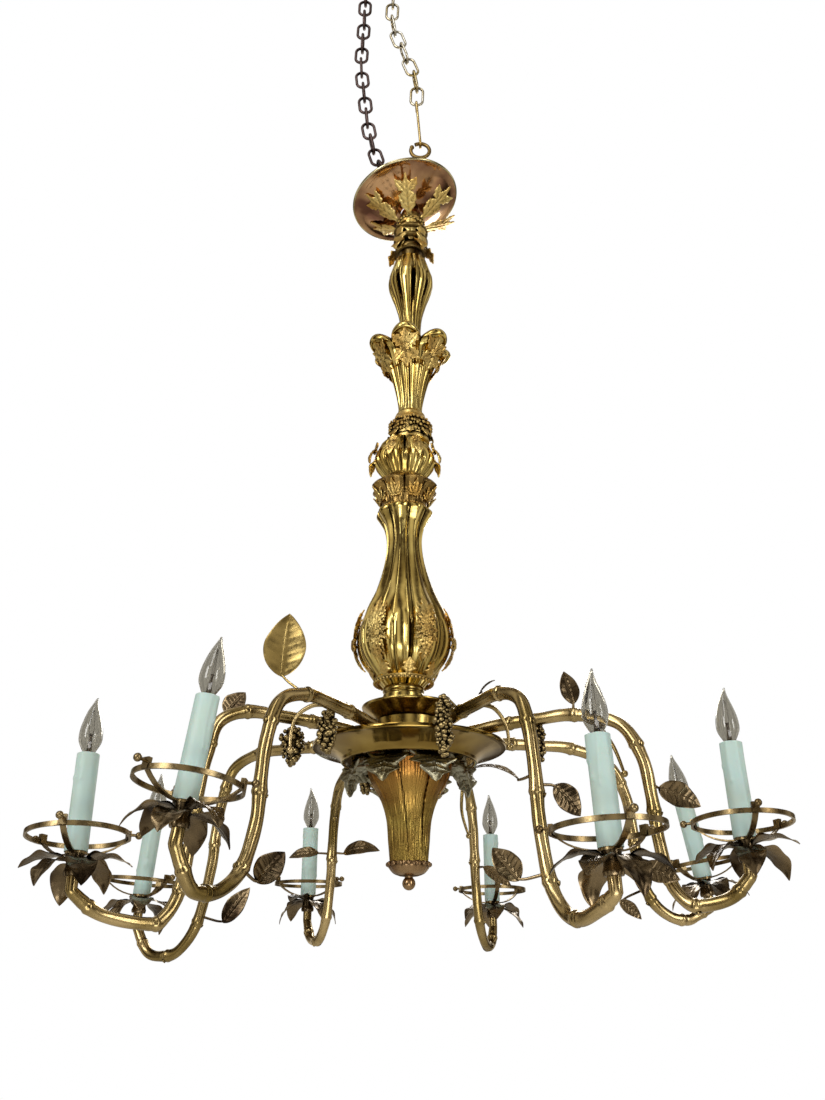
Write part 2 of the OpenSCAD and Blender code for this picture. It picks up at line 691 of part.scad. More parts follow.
// Nearest point of an arm's centre line to p, with the arm's radius there
function nearest(i, p) = let (
    path = arm_path(i),
    n = len(path) - 1,
    feet = [for (k = [0:n - 1]) foot_on(path[k], path[k + 1], p)],
    gaps = [for (f = feet) norm(f[0] - p)],
    k = search(min(gaps), gaps)[0])
    [feet[k][0], mix(arm_radius(k, n), arm_radius(k + 1, n), feet[k][1])];

// Where a stem from p meets an arm: the point just off its skin, and the direction back to p
function on_arm(i, p) = let (near = nearest(i, p), away = unit(p - near[0]))
    [near[0] + (near[1] + seat) * away, away];

// Step that brings p inside the arm, to half its radius from the centre line
function into_arm(i, p) = let (near = nearest(i, p), off = p - near[0], far = norm(off))
    far > near[1] / 2 ? off * (near[1] / 2 / far - 1) : [0, 0, 0];

// Hanging tendrils with a ball at the end: arm, then points from inside the arm to the ball
TENDRILS = [
    [0, [-214, -142, 128], [-226, -154, 100], [-234, -163, 74], [-235, -165, 55]],
    [1, [-96, -168, 146], [-114, -160, 147], [-132, -153, 136], [-138, -150, 116], [-138, -150, 97]],
    [3, [-104, 246, 130], [-110, 250, 108], [-113, 255, 83]],
    [4, [84, 244, 146], [80, 243, 98], [90, 245, 60]],
    [5, [84, -172, 143], [100, -160, 141], [113, -152, 124], [117, -150, 98]],
    [6, [222, -128, 142], [240, -137, 108], [250, -140, 75]]];
ball_r = 4.2;

module tendril(points) {
    line = curve(points, 3);
    tip = last(points);
    bar(line, [for (k = [0:len(line) - 1]) mix(3, 1.8, k / len(line))], 6);
    translate(tip) sphere(r = ball_r, $fn = 32);
}

module arm(i) {
    path = arm_path(i);
    n = len(path) - 1;
    color(i % 2 == 0 ? bronze : "#94763a") fixture() {
        bar(path, [for (k = [0:n]) arm_radius(k, n)]);
        for (t = TENDRILS) if (t[0] == i)
            translate(into_arm(i, t[1])) tendril([for (k = [1:len(t) - 1]) t[k]]);
    }
}

// ---------------------------------------------------------------- candle stations

module station(i) {
    fixture() translate(station_at(i)) rotate([-ARMS[i][2], ARMS[i][3], 0]) children();
}

// Flared cup on the arm's tip, brazed to a whorl of drooping leaves
module leaf_cup(i) {
    station(i) {
        difference() {
            turned(curve([[9.2, cup_low + seat], [10, cup_low + 4], [8.6, cup_low + 9], [8.4, cup_low + 14],
                [9.5, spider_z - seat]], 2), 0.1);
            translate([0, 0, cup_low - 1]) cylinder(r = 5.2, h = 40, $fn = 32);
        }
        for (k = [0:5]) rotate([0, 0, 60 * k + 23 * i]) translate([7.4, 0, spider_z - 8 + (k % 2) * 3])
            rotate([0, -24 + 14 * ((k + i) % 3), 0])
            leaf(cup_leaf - 3 * ((k + i) % 2), cup_leaf_w, 62 + 16 * ((k * 2 + i) % 3), 0.16, 0, 4);
    }
}

module leaf_cups() {
    color(dark_leaf) for (i = STATIONS) leaf_cup(i);
}

spoke_t = 1.6;
lug_h = 9;
lug_w = 8;
screw_r = 1.6;

// Shade ring: an upright band on three curved spokes from a bored hub, with three drilled lugs
module shade_ring(i) {
    inner = shade_id / 2;
    outer = shade_od / 2;
    lift = 0.4;
    rise = -spider_z - spoke_t / 2 - lift - 1;
    span = inner - 9;
    bow = (span * span + rise * rise) / (2 * rise);
    station(i) difference() {
        union() {
            rotate_extrude($fn = 96) translate([inner, -shade_h / 2]) square([outer - inner, shade_h]);
            translate([0, 0, spider_z]) cylinder(r = 11, h = spoke_t + 0.9, $fn = 48);
            rotate([0, 0, ARMS[i][4]]) ring_of(3) {
                translate([9, 3, spider_z + spoke_t / 2 + lift + bow]) rotate([90, 0, 0])
                    linear_extrude(6) intersection() {
                        difference() {
                            circle(r = bow + spoke_t / 2, $fn = 128);
                            circle(r = bow - spoke_t / 2, $fn = 128);
                        }
                        translate([0, -bow - 5]) square([span + 1, rise + 6]);
                    }
                translate([inner - 1, -lug_w / 2, lift - shade_h / 2])
                    cube([outer - inner + 2, lug_w, shade_h + lug_h - 3 - lift]);
            }
        }
        translate([0, 0, spider_z - 1]) cylinder(r = 5.2, h = 6, $fn = 32);
        rotate([0, 0, ARMS[i][4]]) ring_of(3) translate([inner - 5, 0, shade_h / 2 + 2.5])
            rotate([0, 90, 0]) cylinder(r = screw_r + 0.1, h = 12, $fn = 24);
    }
}

module shade_rings() {
    color(bronze) for (i = STATIONS) shade_ring(i);
}

module thumb_screws() {
    outer = shade_od / 2;
    color("#6f5d3c") for (i = STATIONS) station(i) rotate([0, 0, ARMS[i][4]]) ring_of(3)
        translate([outer - 3, 0, shade_h / 2 + 2.5]) rotate([0, 90, 0]) {
            cylinder(r = screw_r, h = 12, $fn = 24);
            translate([0, 0, 13]) sphere(r = 4, $fn = 32);
        }
}

sleeve_z = spider_z + spoke_t + 0.9 + seat;
socket_top = sleeve_z + sleeve_h - 2;
socket_h = 34;
base_r = 5.95;

module candle_sleeves() {
    color(ivory) for (i = STATIONS) station(i) translate([0, 0, sleeve_z]) difference() {
        cylinder(d = sleeve_d, h = sleeve_h, $fn = 48);
        translate([0, 0, -1]) cylinder(d = sleeve_d - 2.4, h = sleeve_h + 2, $fn = 48);
    }
}

// Lamp socket on a threaded tube that comes up out of the arm
module lamp_sockets() {
    low = socket_top - socket_h;
    color("#3b3836") for (i = STATIONS) station(i) difference() {
        union() {
            translate([0, 0, cup_low + seat]) cylinder(r = 4.9, h = low - cup_low, $fn = 32);
            translate([0, 0, low]) cylinder(r = sleeve_d / 2 - 1.2 - seat, h = socket_h, $fn = 48);
        }
        translate([0, 0, cup_low - 1]) cylinder(r = 3.4, h = low - cup_low + 2, $fn = 32);
        translate([0, 0, low + 6]) cylinder(r = base_r + seat, h = socket_h, $fn = 48);
    }
}

base_low = socket_top - socket_h + 8;
glass_low = socket_top + 3;

// Flame-shaped clear envelope, blown thin, with its neck cemented in the cap
module bulb_glass(i) {
    r = bulb_d / 2;
    h = bulb_h;
    w = 0.9;
    outline = curve([[5, -6], [5, -0.8], [8.2, 0.07 * h], [r - 0.7, 0.2 * h], [r, 0.32 * h], [r * 0.88, 0.5 * h],
        [r * 0.56, 0.72 * h], [r * 0.26, 0.88 * h], [1.6, 0.97 * h], [0.9, h]], 3);
    inside = [for (p = outline) if (p[1] > -5.5 && p[1] < 0.9 * h) [max(p[0] - w, 0.4), p[1]]];
    color("#e9eef0", 0.4) station(i) translate([0, 0, glass_low]) difference() {
        turned(outline, 0);
        turned(inside, 0);
    }
}

// Screw cap of the bulb, turning in the socket
module bulb_base(i) {
    color("#c9b071") station(i) difference() {
        union() {
            translate([0, 0, base_low]) cylinder(r1 = 3, r2 = base_r, h = 3, $fn = 48);
            translate([0, 0, base_low + 3]) cylinder(r = base_r, h = glass_low - seat - base_low - 3, $fn = 48);
        }
        translate([0, 0, glass_low - 6 - seat]) cylinder(r = 5.3, h = 20, $fn = 48);
    }
}

// ---------------------------------------------------------------- foliage on the arms

berry_r = 4;

// Bunch of berries about its own axis, hanging down from the origin by a stem along the given
// points, in one skin
module bunch(length, width, count, stem) {
    gold = 137.5;
    berries = [for (b = [0:count - 1]) let (u = (b + 0.5) / count)
        [width / 2 * pow(sin(180 * pow(u, 0.75)), 0.6), gold * b, -length * u]];
    rows = 11;
    cols = 12;
    stem_r = 1.8;
    axes = across(stem, 0, [1, 0, 0]);
    loft(concat([for (i = [rows:-1:0]) let (z = -length * (0.01 + 0.98 * i / rows))
        [for (k = [0:cols - 1]) let (
            a = 360 * k / cols,
            reach = [for (b = berries) let (
                side = b[0] * sin(a - b[1]),
                rest = berry_r * berry_r - pow(z - b[2], 2) - side * side)
                rest > 0 ? b[0] * cos(a - b[1]) + sqrt(rest) : 0],
            r = max(concat(reach, [stem_r])))
            [r * cos(a), r * sin(a), z]]],
        [for (i = [0:len(stem) - 1]) let (b = cross(heading(stem, i), axes[i]))
            [for (k = [0:cols - 1]) stem[i]
                + stem_r * (cos(360 * k / cols) * axes[i] + sin(360 * k / cols) * b)]]));
}

// Bunches hung from the arms by a short stem, just outside the pan: arm, distance out along it,
// sideways offset towards +X, length, width and height of its top above the ring plane
BUNCHES = [[1, 150, -23, 48, 20, 149], [5, 150, -25, 70, 17, 167], [0, 170, 0, 44, 26, 140],
    [6, 158, 21, 50, 20, 149], [3, 168, 4, 32, 22, 138], [4, 152, -8, 38, 20, 138]];

module berry_clusters() {
    color("#7d6636") fixture() for (b = BUNCHES) {
        top = b[1] * outward(b[0]) + [b[2], 0, b[5]];
        root = on_arm(b[0], top + [0, 0, 6]);
        end = root[0] - top;
        translate(top) bunch(b[3], b[4], 24, [[0, 0, 1], [0, 0, 2.5], [0, 0, 4] + 0.3 * (end - [0, 0, 4]),
            end + 1.5 * root[1], end]);
    }
}

// Single leaves on wire stalks: arm, foot and tip of the leaf, the side that its face looks to,
// its width and its curl
FRONT = [0, -1, 0.35];
LEAVES = [
    [1, [-147, -194, 174], [-142, -192, 252], FRONT, 50, 12],
    [0, [-224, -110, 152], [-202, -108, 180], FRONT, 30, 15],
    [6, [200, -116, 164], [191, -114, 206], FRONT, 24, 15],
    [5, [84, -160, 166], [101, -163, 180], [-1, 0, 1], 9, 40],
    [1, [-149, -272, -60], [-124, -266, -30], FRONT, 30, 30],
    [3, [-138, 280, 39], [-183, 282, 32], [0, -1, 0.6], 20, 60],
    [3, [-100, 278, 38], [-45, 276, 42], [0, -0.9, 0.6], 26, 80],
    [2, [-250, 130, -71], [-217, 130, -26], FRONT, 27, 20],
    [5, [116, -246, 46], [58, -232, 56], [0, -0.4, 1], 17, 80],
    [5, [150, -262, 38], [176, -254, 8], FRONT, 28, 30],
    [5, [109, -268, -57], [84, -262, -25], FRONT, 28, 20],
    [4, [114, 284, 20], [155, 276, -10], FRONT, 20, 20],
    [6, [292, -122, 62], [338, -126, 40], FRONT, 34, 30],
    [6, [248, -185, -35], [288, -192, -48], FRONT, 26, 30],
    [7, [276, 74, -46], [300, 64, -70], FRONT, 18, 20],
    [4, [76, 196, 142], [86, 190, 112], FRONT, 20, 20]];

// Leaf from foot to tip whose upper face looks towards facing
module placed_leaf(foot, tip, facing, width, curl) {
    run = tip - foot;
    along = unit(run);
    up = unit(facing - (facing * along) * along);
    side = cross(up, along);
    multmatrix([[along[0], side[0], up[0], foot[0]], [along[1], side[1], up[1], foot[1]],
            [along[2], side[2], up[2], foot[2]], [0, 0, 0, 1]])
        rotate([0, -curl / 2, 0])
            leaf(norm(run) * (curl / 2) * PI / 180 / sin(curl / 2), width, curl, 0.14, 0, 7);
}

module branch_leaves() {
    color(dark_leaf) fixture() for (v = LEAVES) {
        foot = v[1];
        tip = v[2];
        root = on_arm(v[0], foot);
        line = curve([root[0], root[0] + 2 * root[1], mix(root[0], foot, 0.6) + 2 * root[1],
            foot + 2 * unit(tip - foot)], 2);
        bar(line, [for (p = line) stalk_r], 6);
        placed_leaf(foot, tip, v[3], v[4], v[5]);
    }
}

stalk_r = 1.6;

load_hook();
spare_hook();
load_chain();
spare_chain();
s_hook();
hanging_eye();
centre_rod();
canopy();
canopy_collar();
canopy_sprays();
upper_stem();
pear_baluster();
goblet();
goblet_sprays();
flower_collar();
shell_cup();
cup_sprays();
leaf_collar();
vase();
vase_sprays();
neck_collar();
saucer();
arm_hub();
pan();
acanthus_crown();
bell();
bell_collar();
finial();
arm(0);  // arm_1
arm(1);  // arm_2
arm(2);  // arm_3
arm(3);  // arm_4
arm(4);  // arm_5
arm(5);  // arm_6
arm(6);  // arm_7
arm(7);  // arm_8
shade_rings();
leaf_cups();
candle_sleeves();
lamp_sockets();
thumb_screws();
berry_clusters();
branch_leaves();
bulb_glass(0);  // bulb_glass_1
bulb_glass(1);  // bulb_glass_2
bulb_glass(2);  // bulb_glass_3
bulb_glass(3);  // bulb_glass_4
bulb_glass(4);  // bulb_glass_5
bulb_glass(5);  // bulb_glass_6
bulb_glass(6);  // bulb_glass_7
bulb_glass(7);  // bulb_glass_8
bulb_base(0);  // bulb_base_1
bulb_base(1);  // bulb_base_2
bulb_base(2);  // bulb_base_3
bulb_base(3);  // bulb_base_4
bulb_base(4);  // bulb_base_5
bulb_base(5);  // bulb_base_6
bulb_base(6);  // bulb_base_7
bulb_base(7);  // bulb_base_8
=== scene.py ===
"""Eight-arm vine chandelier in gilt brass and bronze, hung on two chains: its looks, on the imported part.

Points are worked out in millimetres from the middle of the ring plane, with +Z up and -Y to the front,
and every surface is a function of two parameters on a grid, or a profile carried along a path.
"""

import json
import math

import bpy
import numpy as np
from mathutils import Matrix


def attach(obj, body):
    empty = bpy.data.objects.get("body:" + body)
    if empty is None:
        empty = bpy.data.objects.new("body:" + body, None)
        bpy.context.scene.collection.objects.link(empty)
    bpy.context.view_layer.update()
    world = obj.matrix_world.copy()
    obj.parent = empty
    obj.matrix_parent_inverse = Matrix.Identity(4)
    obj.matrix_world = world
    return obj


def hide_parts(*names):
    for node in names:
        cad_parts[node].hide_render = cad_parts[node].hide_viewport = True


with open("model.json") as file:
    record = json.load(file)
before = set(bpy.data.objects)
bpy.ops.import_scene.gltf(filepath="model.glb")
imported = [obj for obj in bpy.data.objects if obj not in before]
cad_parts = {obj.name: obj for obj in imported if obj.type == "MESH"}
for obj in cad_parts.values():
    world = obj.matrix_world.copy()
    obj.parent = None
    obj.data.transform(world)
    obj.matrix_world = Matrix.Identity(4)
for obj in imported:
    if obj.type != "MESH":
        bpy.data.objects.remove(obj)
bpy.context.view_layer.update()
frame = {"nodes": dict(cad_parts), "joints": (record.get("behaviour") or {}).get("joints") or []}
scene = bpy.context.scene

# ---------------- camera
# A standing viewer's eye, close under the front arms and looking up at the column: a normal lens
# with a slight tilt of the head. Its place is taken from the turning axis of the finial.
joints = {joint["name"]: joint for joint in frame["joints"]}
finial_drop_mm = 33
centre = np.array(joints["finial_turn"]["pos_m"]) + [0, 0, finial_drop_mm / 1000]
eye_back_mm, eye_below_mm = 1292.9, 162.0
pitch, yaw, roll = 24.32, 0.17, 0.10
camera_data = bpy.data.cameras.new("camera")
camera_data.sensor_width = 36
camera_data.lens = 32.39
camera = bpy.data.objects.new("camera", camera_data)
camera.matrix_world = (
    Matrix.Translation(centre + np.array([0, -eye_back_mm, -eye_below_mm]) / 1000)
    @ Matrix.Rotation(math.radians(-yaw), 4, "Z")
    @ Matrix.Rotation(math.radians(90 + pitch), 4, "X")
    @ Matrix.Rotation(math.radians(roll), 4, "Z")
)
scene.collection.objects.link(camera)
scene.camera = camera

# ---------------- hooks and chains
# Two bent steel hooks screwed into the ceiling. The spare chain is of blackened steel links, and
# the load chain of nickel-plated ones whose plating has yellowed. Both are butt-welded wire.


def linear(colour):
    """An sRGB hex colour as the linear values that a shader takes."""
    parts = np.array([int(colour[k : k + 2], 16) / 255 for k in (1, 3, 5)])
    parts = np.where(parts <= 0.04045, parts / 12.92, ((parts + 0.055) / 1.055) ** 2.4)
    return (*parts.tolist(), 1.0)


def add(owner, kind, inputs, **settings):
    """Adds a node with its properties and inputs, each a value or another node's output; gives its outputs.

    A colour Mix has its share at input 0, its colours at 6 and 7, and its result at output 2.
    """
    tree = owner.node_tree
    node = tree.nodes.new(kind)
    for name, value in settings.items():
        setattr(node, name, value)
    for name, value in inputs.items():
        if isinstance(value, bpy.types.NodeSocket):
            tree.links.new(value, node.inputs[name])
        else:
            node.inputs[name].default_value = value
    return node.outputs


def blank(name):
    """A new material without nodes, and then the Object coordinates that its patterns read."""
    material = bpy.data.materials.new(name)
    material.use_nodes = True
    material.node_tree.nodes.clear()
    return material, add(material, "ShaderNodeTexCoord", {})["Object"]


def metal(name, bright, dull, patina_and_shade, rough, grain_mm, depth_mm, hollow_mm=9.0, open_share=0.55, height_tint=None):
    """A metal with bright and dull clouds over it, dark patina and painted shade in its hollows, and a
    grain in its relief.

    The clouds are noise at 60 mm. The patina and painted shade thicken as the surface within hollow_mm
    closes in on a point, and are whole where only the given open share stays open. The grain is noise of
    the given size and height, which also roughens the gloss. A tint is a colour that comes in between
    two heights.
    """
    material, place = blank(name)
    clouds = add(material, "ShaderNodeTexNoise", {"Vector": place, "Scale": 1000 / 60, "Detail": 3.0})["Fac"]
    limits = {"From Min": 0.35, "From Max": 0.65}
    shares = add(material, "ShaderNodeMapRange", {"Value": clouds, **limits})["Result"]
    colours = {0: shares, 6: linear(bright), 7: linear(dull)}
    skin = add(material, "ShaderNodeMix", colours, data_type="RGBA")[2]
    if height_tint:
        colour, low_mm, high_mm = height_tint
        height = add(material, "ShaderNodeSeparateXYZ", {"Vector": place})["Z"]
        limits = {"From Min": centre[2] + low_mm / 1000, "From Max": centre[2] + high_mm / 1000}
        tint_share = add(material, "ShaderNodeMapRange", {"Value": height, **limits})["Result"]
        skin = add(material, "ShaderNodeMix", {0: tint_share, 6: skin, 7: linear(colour)}, data_type="RGBA")[2]
    # Painted shade and patina: the colour darkens towards the patina colour where ambient occlusion finds the
    # surface closed in
    reach = {"Distance": hollow_mm / 1000}
    openness = add(material, "ShaderNodeAmbientOcclusion", reach, samples=6, only_local=True)["AO"]
    limits = {"From Min": open_share, "From Max": 0.98, "To Min": 1.0, "To Max": 0.0}
    hollow_shade = add(material, "ShaderNodeMapRange", {"Value": openness, **limits})["Result"]
    skin = add(material, "ShaderNodeMix", {0: hollow_shade, 6: skin, 7: linear(patina_and_shade)}, data_type="RGBA")[2]
    spacing = {"Scale": 1000 / grain_mm, "Detail": 2.0}
    grain = add(material, "ShaderNodeTexNoise", {"Vector": place, **spacing})["Fac"]
    limits = {"From Min": 0.3, "From Max": 0.7, "To Min": rough * 0.8, "To Max": rough * 1.35}
    gloss = add(material, "ShaderNodeMapRange", {"Value": grain, **limits})["Result"]
    relief = add(material, "ShaderNodeBump", {"Height": grain, "Distance": depth_mm / 1000})["Normal"]
    surface = {"Base Color": skin, "Metallic": 1.0, "Roughness": gloss, "Normal": relief}
    shader = add(material, "ShaderNodeBsdfPrincipled", surface)["BSDF"]
    add(material, "ShaderNodeOutputMaterial", {"Surface": shader})
    return material


def finish_nodes(material, *names):
    """Puts the material on CAD nodes that stay as they are."""
    for name in names:
        frame["nodes"][name].data.materials.clear()
        frame["nodes"][name].data.materials.append(material)


# Low-carbon steel with a heat-blackened skin, rubbed to a purple-brown sheen
blackened_steel = metal("blackened_steel", "#6b5a58", "#4d403e", "#1d1616", 0.38, 1.2, 0.05)
finish_nodes(blackened_steel, "load_hook", "spare_hook", "spare_chain", "centre_rod")
# Bright nickel over brass, worn through to yellow in patches
nickel_plate = metal("nickel_plate", "#d9d6cb", "#b5a06c", "#4a4030", 0.24, 1.5, 0.03)
finish_nodes(nickel_plate, "load_chain")

# ---------------- S-hook and hanging eye
# The S-hook is bent from brass wire and holds the last link in its upper bend. The eye is an open
# ring of iron bar with a ball at its free end, screwed on the rod.

# Drawn brass wire with a tarnished skin
brass_wire = metal("brass_wire", "#dcc48c", "#b3924c", "#4b3719", 0.26, 1.0, 0.02)
finish_nodes(brass_wire, "s_hook")
# Bar iron, bronzed with lacquer that has darkened
bronzed_iron = metal("bronzed_iron", "#a58a55", "#735b33", "#2a2014", 0.36, 1.4, 0.05)
finish_nodes(bronzed_iron, "hanging_eye")

# ---------------- canopy
# A shallow dish of spun copper-brass with a rolled rim, threaded loosely on the rod through its
# lowest point and resting on a turned slip ring. Its underside is polished and lacquered.


def shell(rings, loop=False):
    """Points and faces of a surface through rings [ring, point, xyz], anticlockwise about their way up.

    loop joins the last ring to the first, and otherwise a fan of triangles closes each end.
    """
    rings = np.asarray(rings, float)
    m, n = rings.shape[:2]
    k = np.arange(n)
    low = np.arange(m if loop else m - 1)[:, None] * n
    high = (low + n) % (m * n)
    quads = np.stack([low + k, low + (k + 1) % n, high + (k + 1) % n, high + k], -1).reshape(-1, 4)
    if loop:
        return rings.reshape(-1, 3), quads, np.zeros((0, 3), int)
    top = (m - 1) * n
    lower_fan = np.stack([(k + 1) % n, k, np.full(n, m * n)], -1)
    upper_fan = np.stack([top + k, top + (k + 1) % n, np.full(n, m * n + 1)], -1)
    ends = np.stack([rings[0].mean(0), rings[-1].mean(0)])
    return np.concatenate([rings.reshape(-1, 3), ends]), quads, np.concatenate([lower_fan, upper_fan])


def piece(name, shells, material, slot, *nodes, body="fixture", crease=42):
    """One mesh object from shells in millimetres about the centre, which rides on the body.

    It replaces the CAD nodes, if any are named. Edges sharper than crease degrees stay crisp.
    """
    starts = np.cumsum([0] + [len(points) for points, _, _ in shells])
    points = np.concatenate([points for points, _, _ in shells]) / 1000 + centre
    faces = []
    for start, (_, quads, triangles) in zip(starts, shells):
        faces += (quads + start).tolist() + (triangles + start).tolist()
    mesh = bpy.data.meshes.new(name)
    mesh.from_pydata(points.tolist(), [], faces)
    mesh.update()
    mesh.shade_smooth()
    mesh.set_sharp_from_angle(angle=math.radians(crease))
    mesh.materials.append(material)
    made = bpy.data.objects.new(name, mesh)
    scene.collection.objects.link(made)
    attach(made, body)
    if nodes:
        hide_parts(*nodes)


def smooth(points, steps):
    """Smooth curve through the points, steps to each span: a Catmull-Rom spline."""
    p = np.asarray(points, float)
    p = np.concatenate([p[:1], p, p[-1:]])
    t = (np.arange(steps) / steps)[None, :, None]
    a, b, c, d = (p[k : len(p) - 3 + k, None] for k in range(4))
    square, cube = 2 * a - 5 * b + 4 * c - d, 3 * b - a - 3 * c + d
    spans = 0.5 * (2 * b + (c - a) * t + square * t**2 + cube * t**3)
    return np.concatenate([spans.reshape(-1, p.shape[1]), p[-1:]])


def full_turn(count):
    """Angles evenly spaced over a full turn."""
    return np.linspace(0, 2 * np.pi, count, endpoint=False)


def round_axis(radius, angle, height):
    """Points at the radii and angles about the upright axis, and at the heights."""
    radius, angle, height = np.broadcast_arrays(radius, angle, height)
    return np.stack([radius * np.cos(angle), radius * np.sin(angle), height], -1)


def turned(profile, sides=96):
    """Rings of a solid of revolution under a profile of [radius, height]."""
    profile = np.asarray(profile, float)
    return round_axis(profile[:, 0, None], full_turn(sides), profile[:, 1, None])


def lathe(profile, sides=96):
    """Shell of a closed profile of [radius, height] turned about the upright axis."""
    return shell(turned(profile, sides), loop=True)


def turn(axis, degrees):
    """Turn about X, Y or Z as a 3 by 3 array."""
    return np.array(Matrix.Rotation(math.radians(degrees), 3, axis))


def moved(part, rotation=np.eye(3), shift=(0, 0, 0)):
    """The shell turned and then shifted."""
    points, quads, triangles = part
    return points @ rotation.T + shift, quads, triangles


canopy_z, rim_r, hole_r = 1050, 87.5, 12.5
canopy_turn = turn("Y", -11.5) @ turn("X", -3)
canopy_seat = [-4.5, 0, canopy_z]
under = smooth([[hole_r, 0], [30, 1.4], [52, 10], [68, 19.6], [79.5, 24.6], [rim_r, 25.0]], 6)
roll_angle = np.radians(np.arange(-80, 190, 20))
roll_way = np.stack([np.cos(roll_angle), np.sin(roll_angle)], -1)
rim = np.array([rim_r + 0.2, 27]) + 2.2 * roll_way
over = (under + [-0.4, 1.6])[::-1]
over[-1, 0] = hole_r
dish = moved(lathe(np.concatenate([under, rim, over[1:]])), canopy_turn, canopy_seat)
# Copper-rich brass, spun, buffed and lacquered: a purple-brown mirror with paler clouds
spun_copper = metal("spun_copper", "#dcb082", "#76503f", "#33201c", 0.13, 3.0, 0.02, open_share=0.3)
piece("canopy_dish", [dish], spun_copper, "copper_brass", "canopy", body="canopy")
finish_nodes(spun_copper, "canopy_collar")
# The rim's copper is rubbed through to a silvery yellow
rubbed_rim = metal("rubbed_rim", "#dcd3ae", "#b09c68", "#4a3a26", 0.2, 1.6, 0.02)
rim_skin = moved(lathe(rim + 0.35 * roll_way), canopy_turn, canopy_seat)
piece("canopy_rim", [rim_skin], rubbed_rim, "copper_brass", body="canopy")

# ---------------- leaves under the canopy
# Six trident-tipped leaves fan out under the dish from a ring on the stem, and tall leaves lie up
# the stem below it. They are cast in brass, chased with veins and fire-gilt.


def leaf(length, width, curl, fold, lobes=0.0, *, veins, steps, teeth=3, thick=1.4, ruffle=0.0):
    """Shell of a leaf along +X from its stalk, bent down by curl degrees, in its own frame.

    At share u of its length its half width is width / 2 times sin(180 u^0.8)^0.8, with lobes that
    follow cos(360 teeth u). Its halves rise by fold, the edge ripples by ruffle, and the midrib and the
    slanting side veins stand up from the blade.
    """
    rows, half_cols = steps
    u = np.linspace(0, 1, rows + 1)[:, None]
    v = np.linspace(-1, 1, 2 * half_cols + 1)[None, :]
    bend = math.radians(curl if abs(curl) > 1 else 1)
    body = np.sin(np.pi * u**0.8) ** 0.8 * (1 + lobes * np.cos(2 * np.pi * teeth * u))
    half = np.maximum(width / 2 * body, 0.9 - 0.5 * u)
    lift = fold * half * np.abs(v) ** 1.4
    lift = lift + ruffle * half * v**2 * np.sin(2 * np.pi * 2.5 * u + np.pi * (v > 0))
    phase = (u * veins - np.abs(v) * 0.9 * half / width * 2) % 1
    side_vein = np.exp(-(((phase - 0.5) / 0.13) ** 2)) * (1 - np.abs(v) ** 3)
    midrib = np.exp(-((v * half / 1.5) ** 2))
    rise = lift + thick * (0.5 * side_vein + 0.75 * midrib) * np.sin(np.pi * np.clip(u * 1.15, 0, 1)) ** 0.3
    sheet = thick / 2 * np.sqrt(np.clip(1 - v**8, 0, 1)) * np.ones_like(u)
    up = np.stack([np.sin(bend * u), 0 * u, np.cos(bend * u)], -1)
    flat = length / bend * (up - [0, 0, 1]) + (half * v)[..., None] * [0, -1, 0]
    upper = flat + (rise + sheet)[..., None] * up
    lower = flat + (0.75 * rise - sheet)[..., None] * up
    return shell(np.concatenate([upper, lower[:, -2:0:-1]], 1))


def berries(places, radius, around=6, along=5):
    """One shell of small balls at the places, each of along by around faces."""
    polar = np.linspace(0, np.pi, along + 1)[1:-1]
    ball_points, quads, fans = shell(turned(np.stack([np.sin(polar), -np.cos(polar)], -1), around))
    ball_points = np.concatenate([ball_points[:-2], [[0, 0, -1], [0, 0, 1]]])
    size = np.broadcast_to(np.asarray(radius, float), (len(places),))
    points = np.asarray(places, float)[:, None] + size[:, None, None] * ball_points
    starts = np.arange(len(places))[:, None, None] * len(ball_points)
    return points.reshape(-1, 3), (starts + quads).reshape(-1, 4), (starts + fans).reshape(-1, 3)


def laid(parts, rotation=np.eye(3), *, shift):
    """Several shells turned and then shifted together."""
    return [moved(part, rotation, shift) for part in parts]


def ring_of(parts, count, start=0.0):
    """Several shells repeated count times about the upright axis."""
    return [moved(part, turn("Z", start + 360 * k / count)) for part in parts for k in range(count)]


pear_top, stem_top = 942, 1036.4
band_r, knot_r, knot_z = 21.5, 21.8, stem_top - 15.5
fan = [leaf(72, 20, -14, 0.2, 0.34, teeth=4, veins=8, steps=(44, 7), thick=2.2)]
for side in (-1, 1):
    outer_lobe = leaf(27, 14, -6, 0.2, 0.16, veins=5, steps=(18, 5), thick=2)
    fan.append(moved(outer_lobe, turn("Y", -9) @ turn("Z", 38 * side), [41, 2.2 * side, 3.4]))
    inner_lobe = leaf(23, 12, -6, 0.2, 0.16, veins=4, steps=(16, 4), thick=2)
    fan.append(moved(inner_lobe, turn("Y", -5) @ turn("Z", 32 * side), [17, 2 * side, 1]))
fan = laid(fan, turn("Y", -24), shift=[20, 0, stem_top - 14])
tall = leaf(56, 22, -6, 0.2, 0.26, teeth=4, veins=9, steps=(44, 9), ruffle=0.14)
tall = moved(tall, turn("Y", -88), [27.3, 0, pear_top + 12])
between = leaf(54, 20, 4, 0.2, 0.26, teeth=4, veins=9, steps=(44, 9), ruffle=0.1)
between = moved(between, turn("Y", -90), [20.8, 0, pear_top + 32])
hooked = leaf(33, 22, 62, 0.2, 0.2, teeth=3, veins=6, steps=(28, 7), thick=1.8)
hooked = moved(hooked, turn("Y", 22), [19, 0, pear_top + 30])
band_low, band_high = stem_top - 20, stem_top - 11
band = lathe([[17.3, band_low], [band_r, band_low], [band_r, band_high], [17.3, band_high]])
knot_angle = full_turn(24)
knots = berries(round_axis(knot_r, knot_angle, knot_z + 3 * np.cos(3 * knot_angle)), 2.8)
canopy_leaves = ring_of(fan, 6, 23) + ring_of([tall], 4, 45) + ring_of([between], 4)
canopy_leaves += ring_of([hooked], 5, 12) + [band, knots]
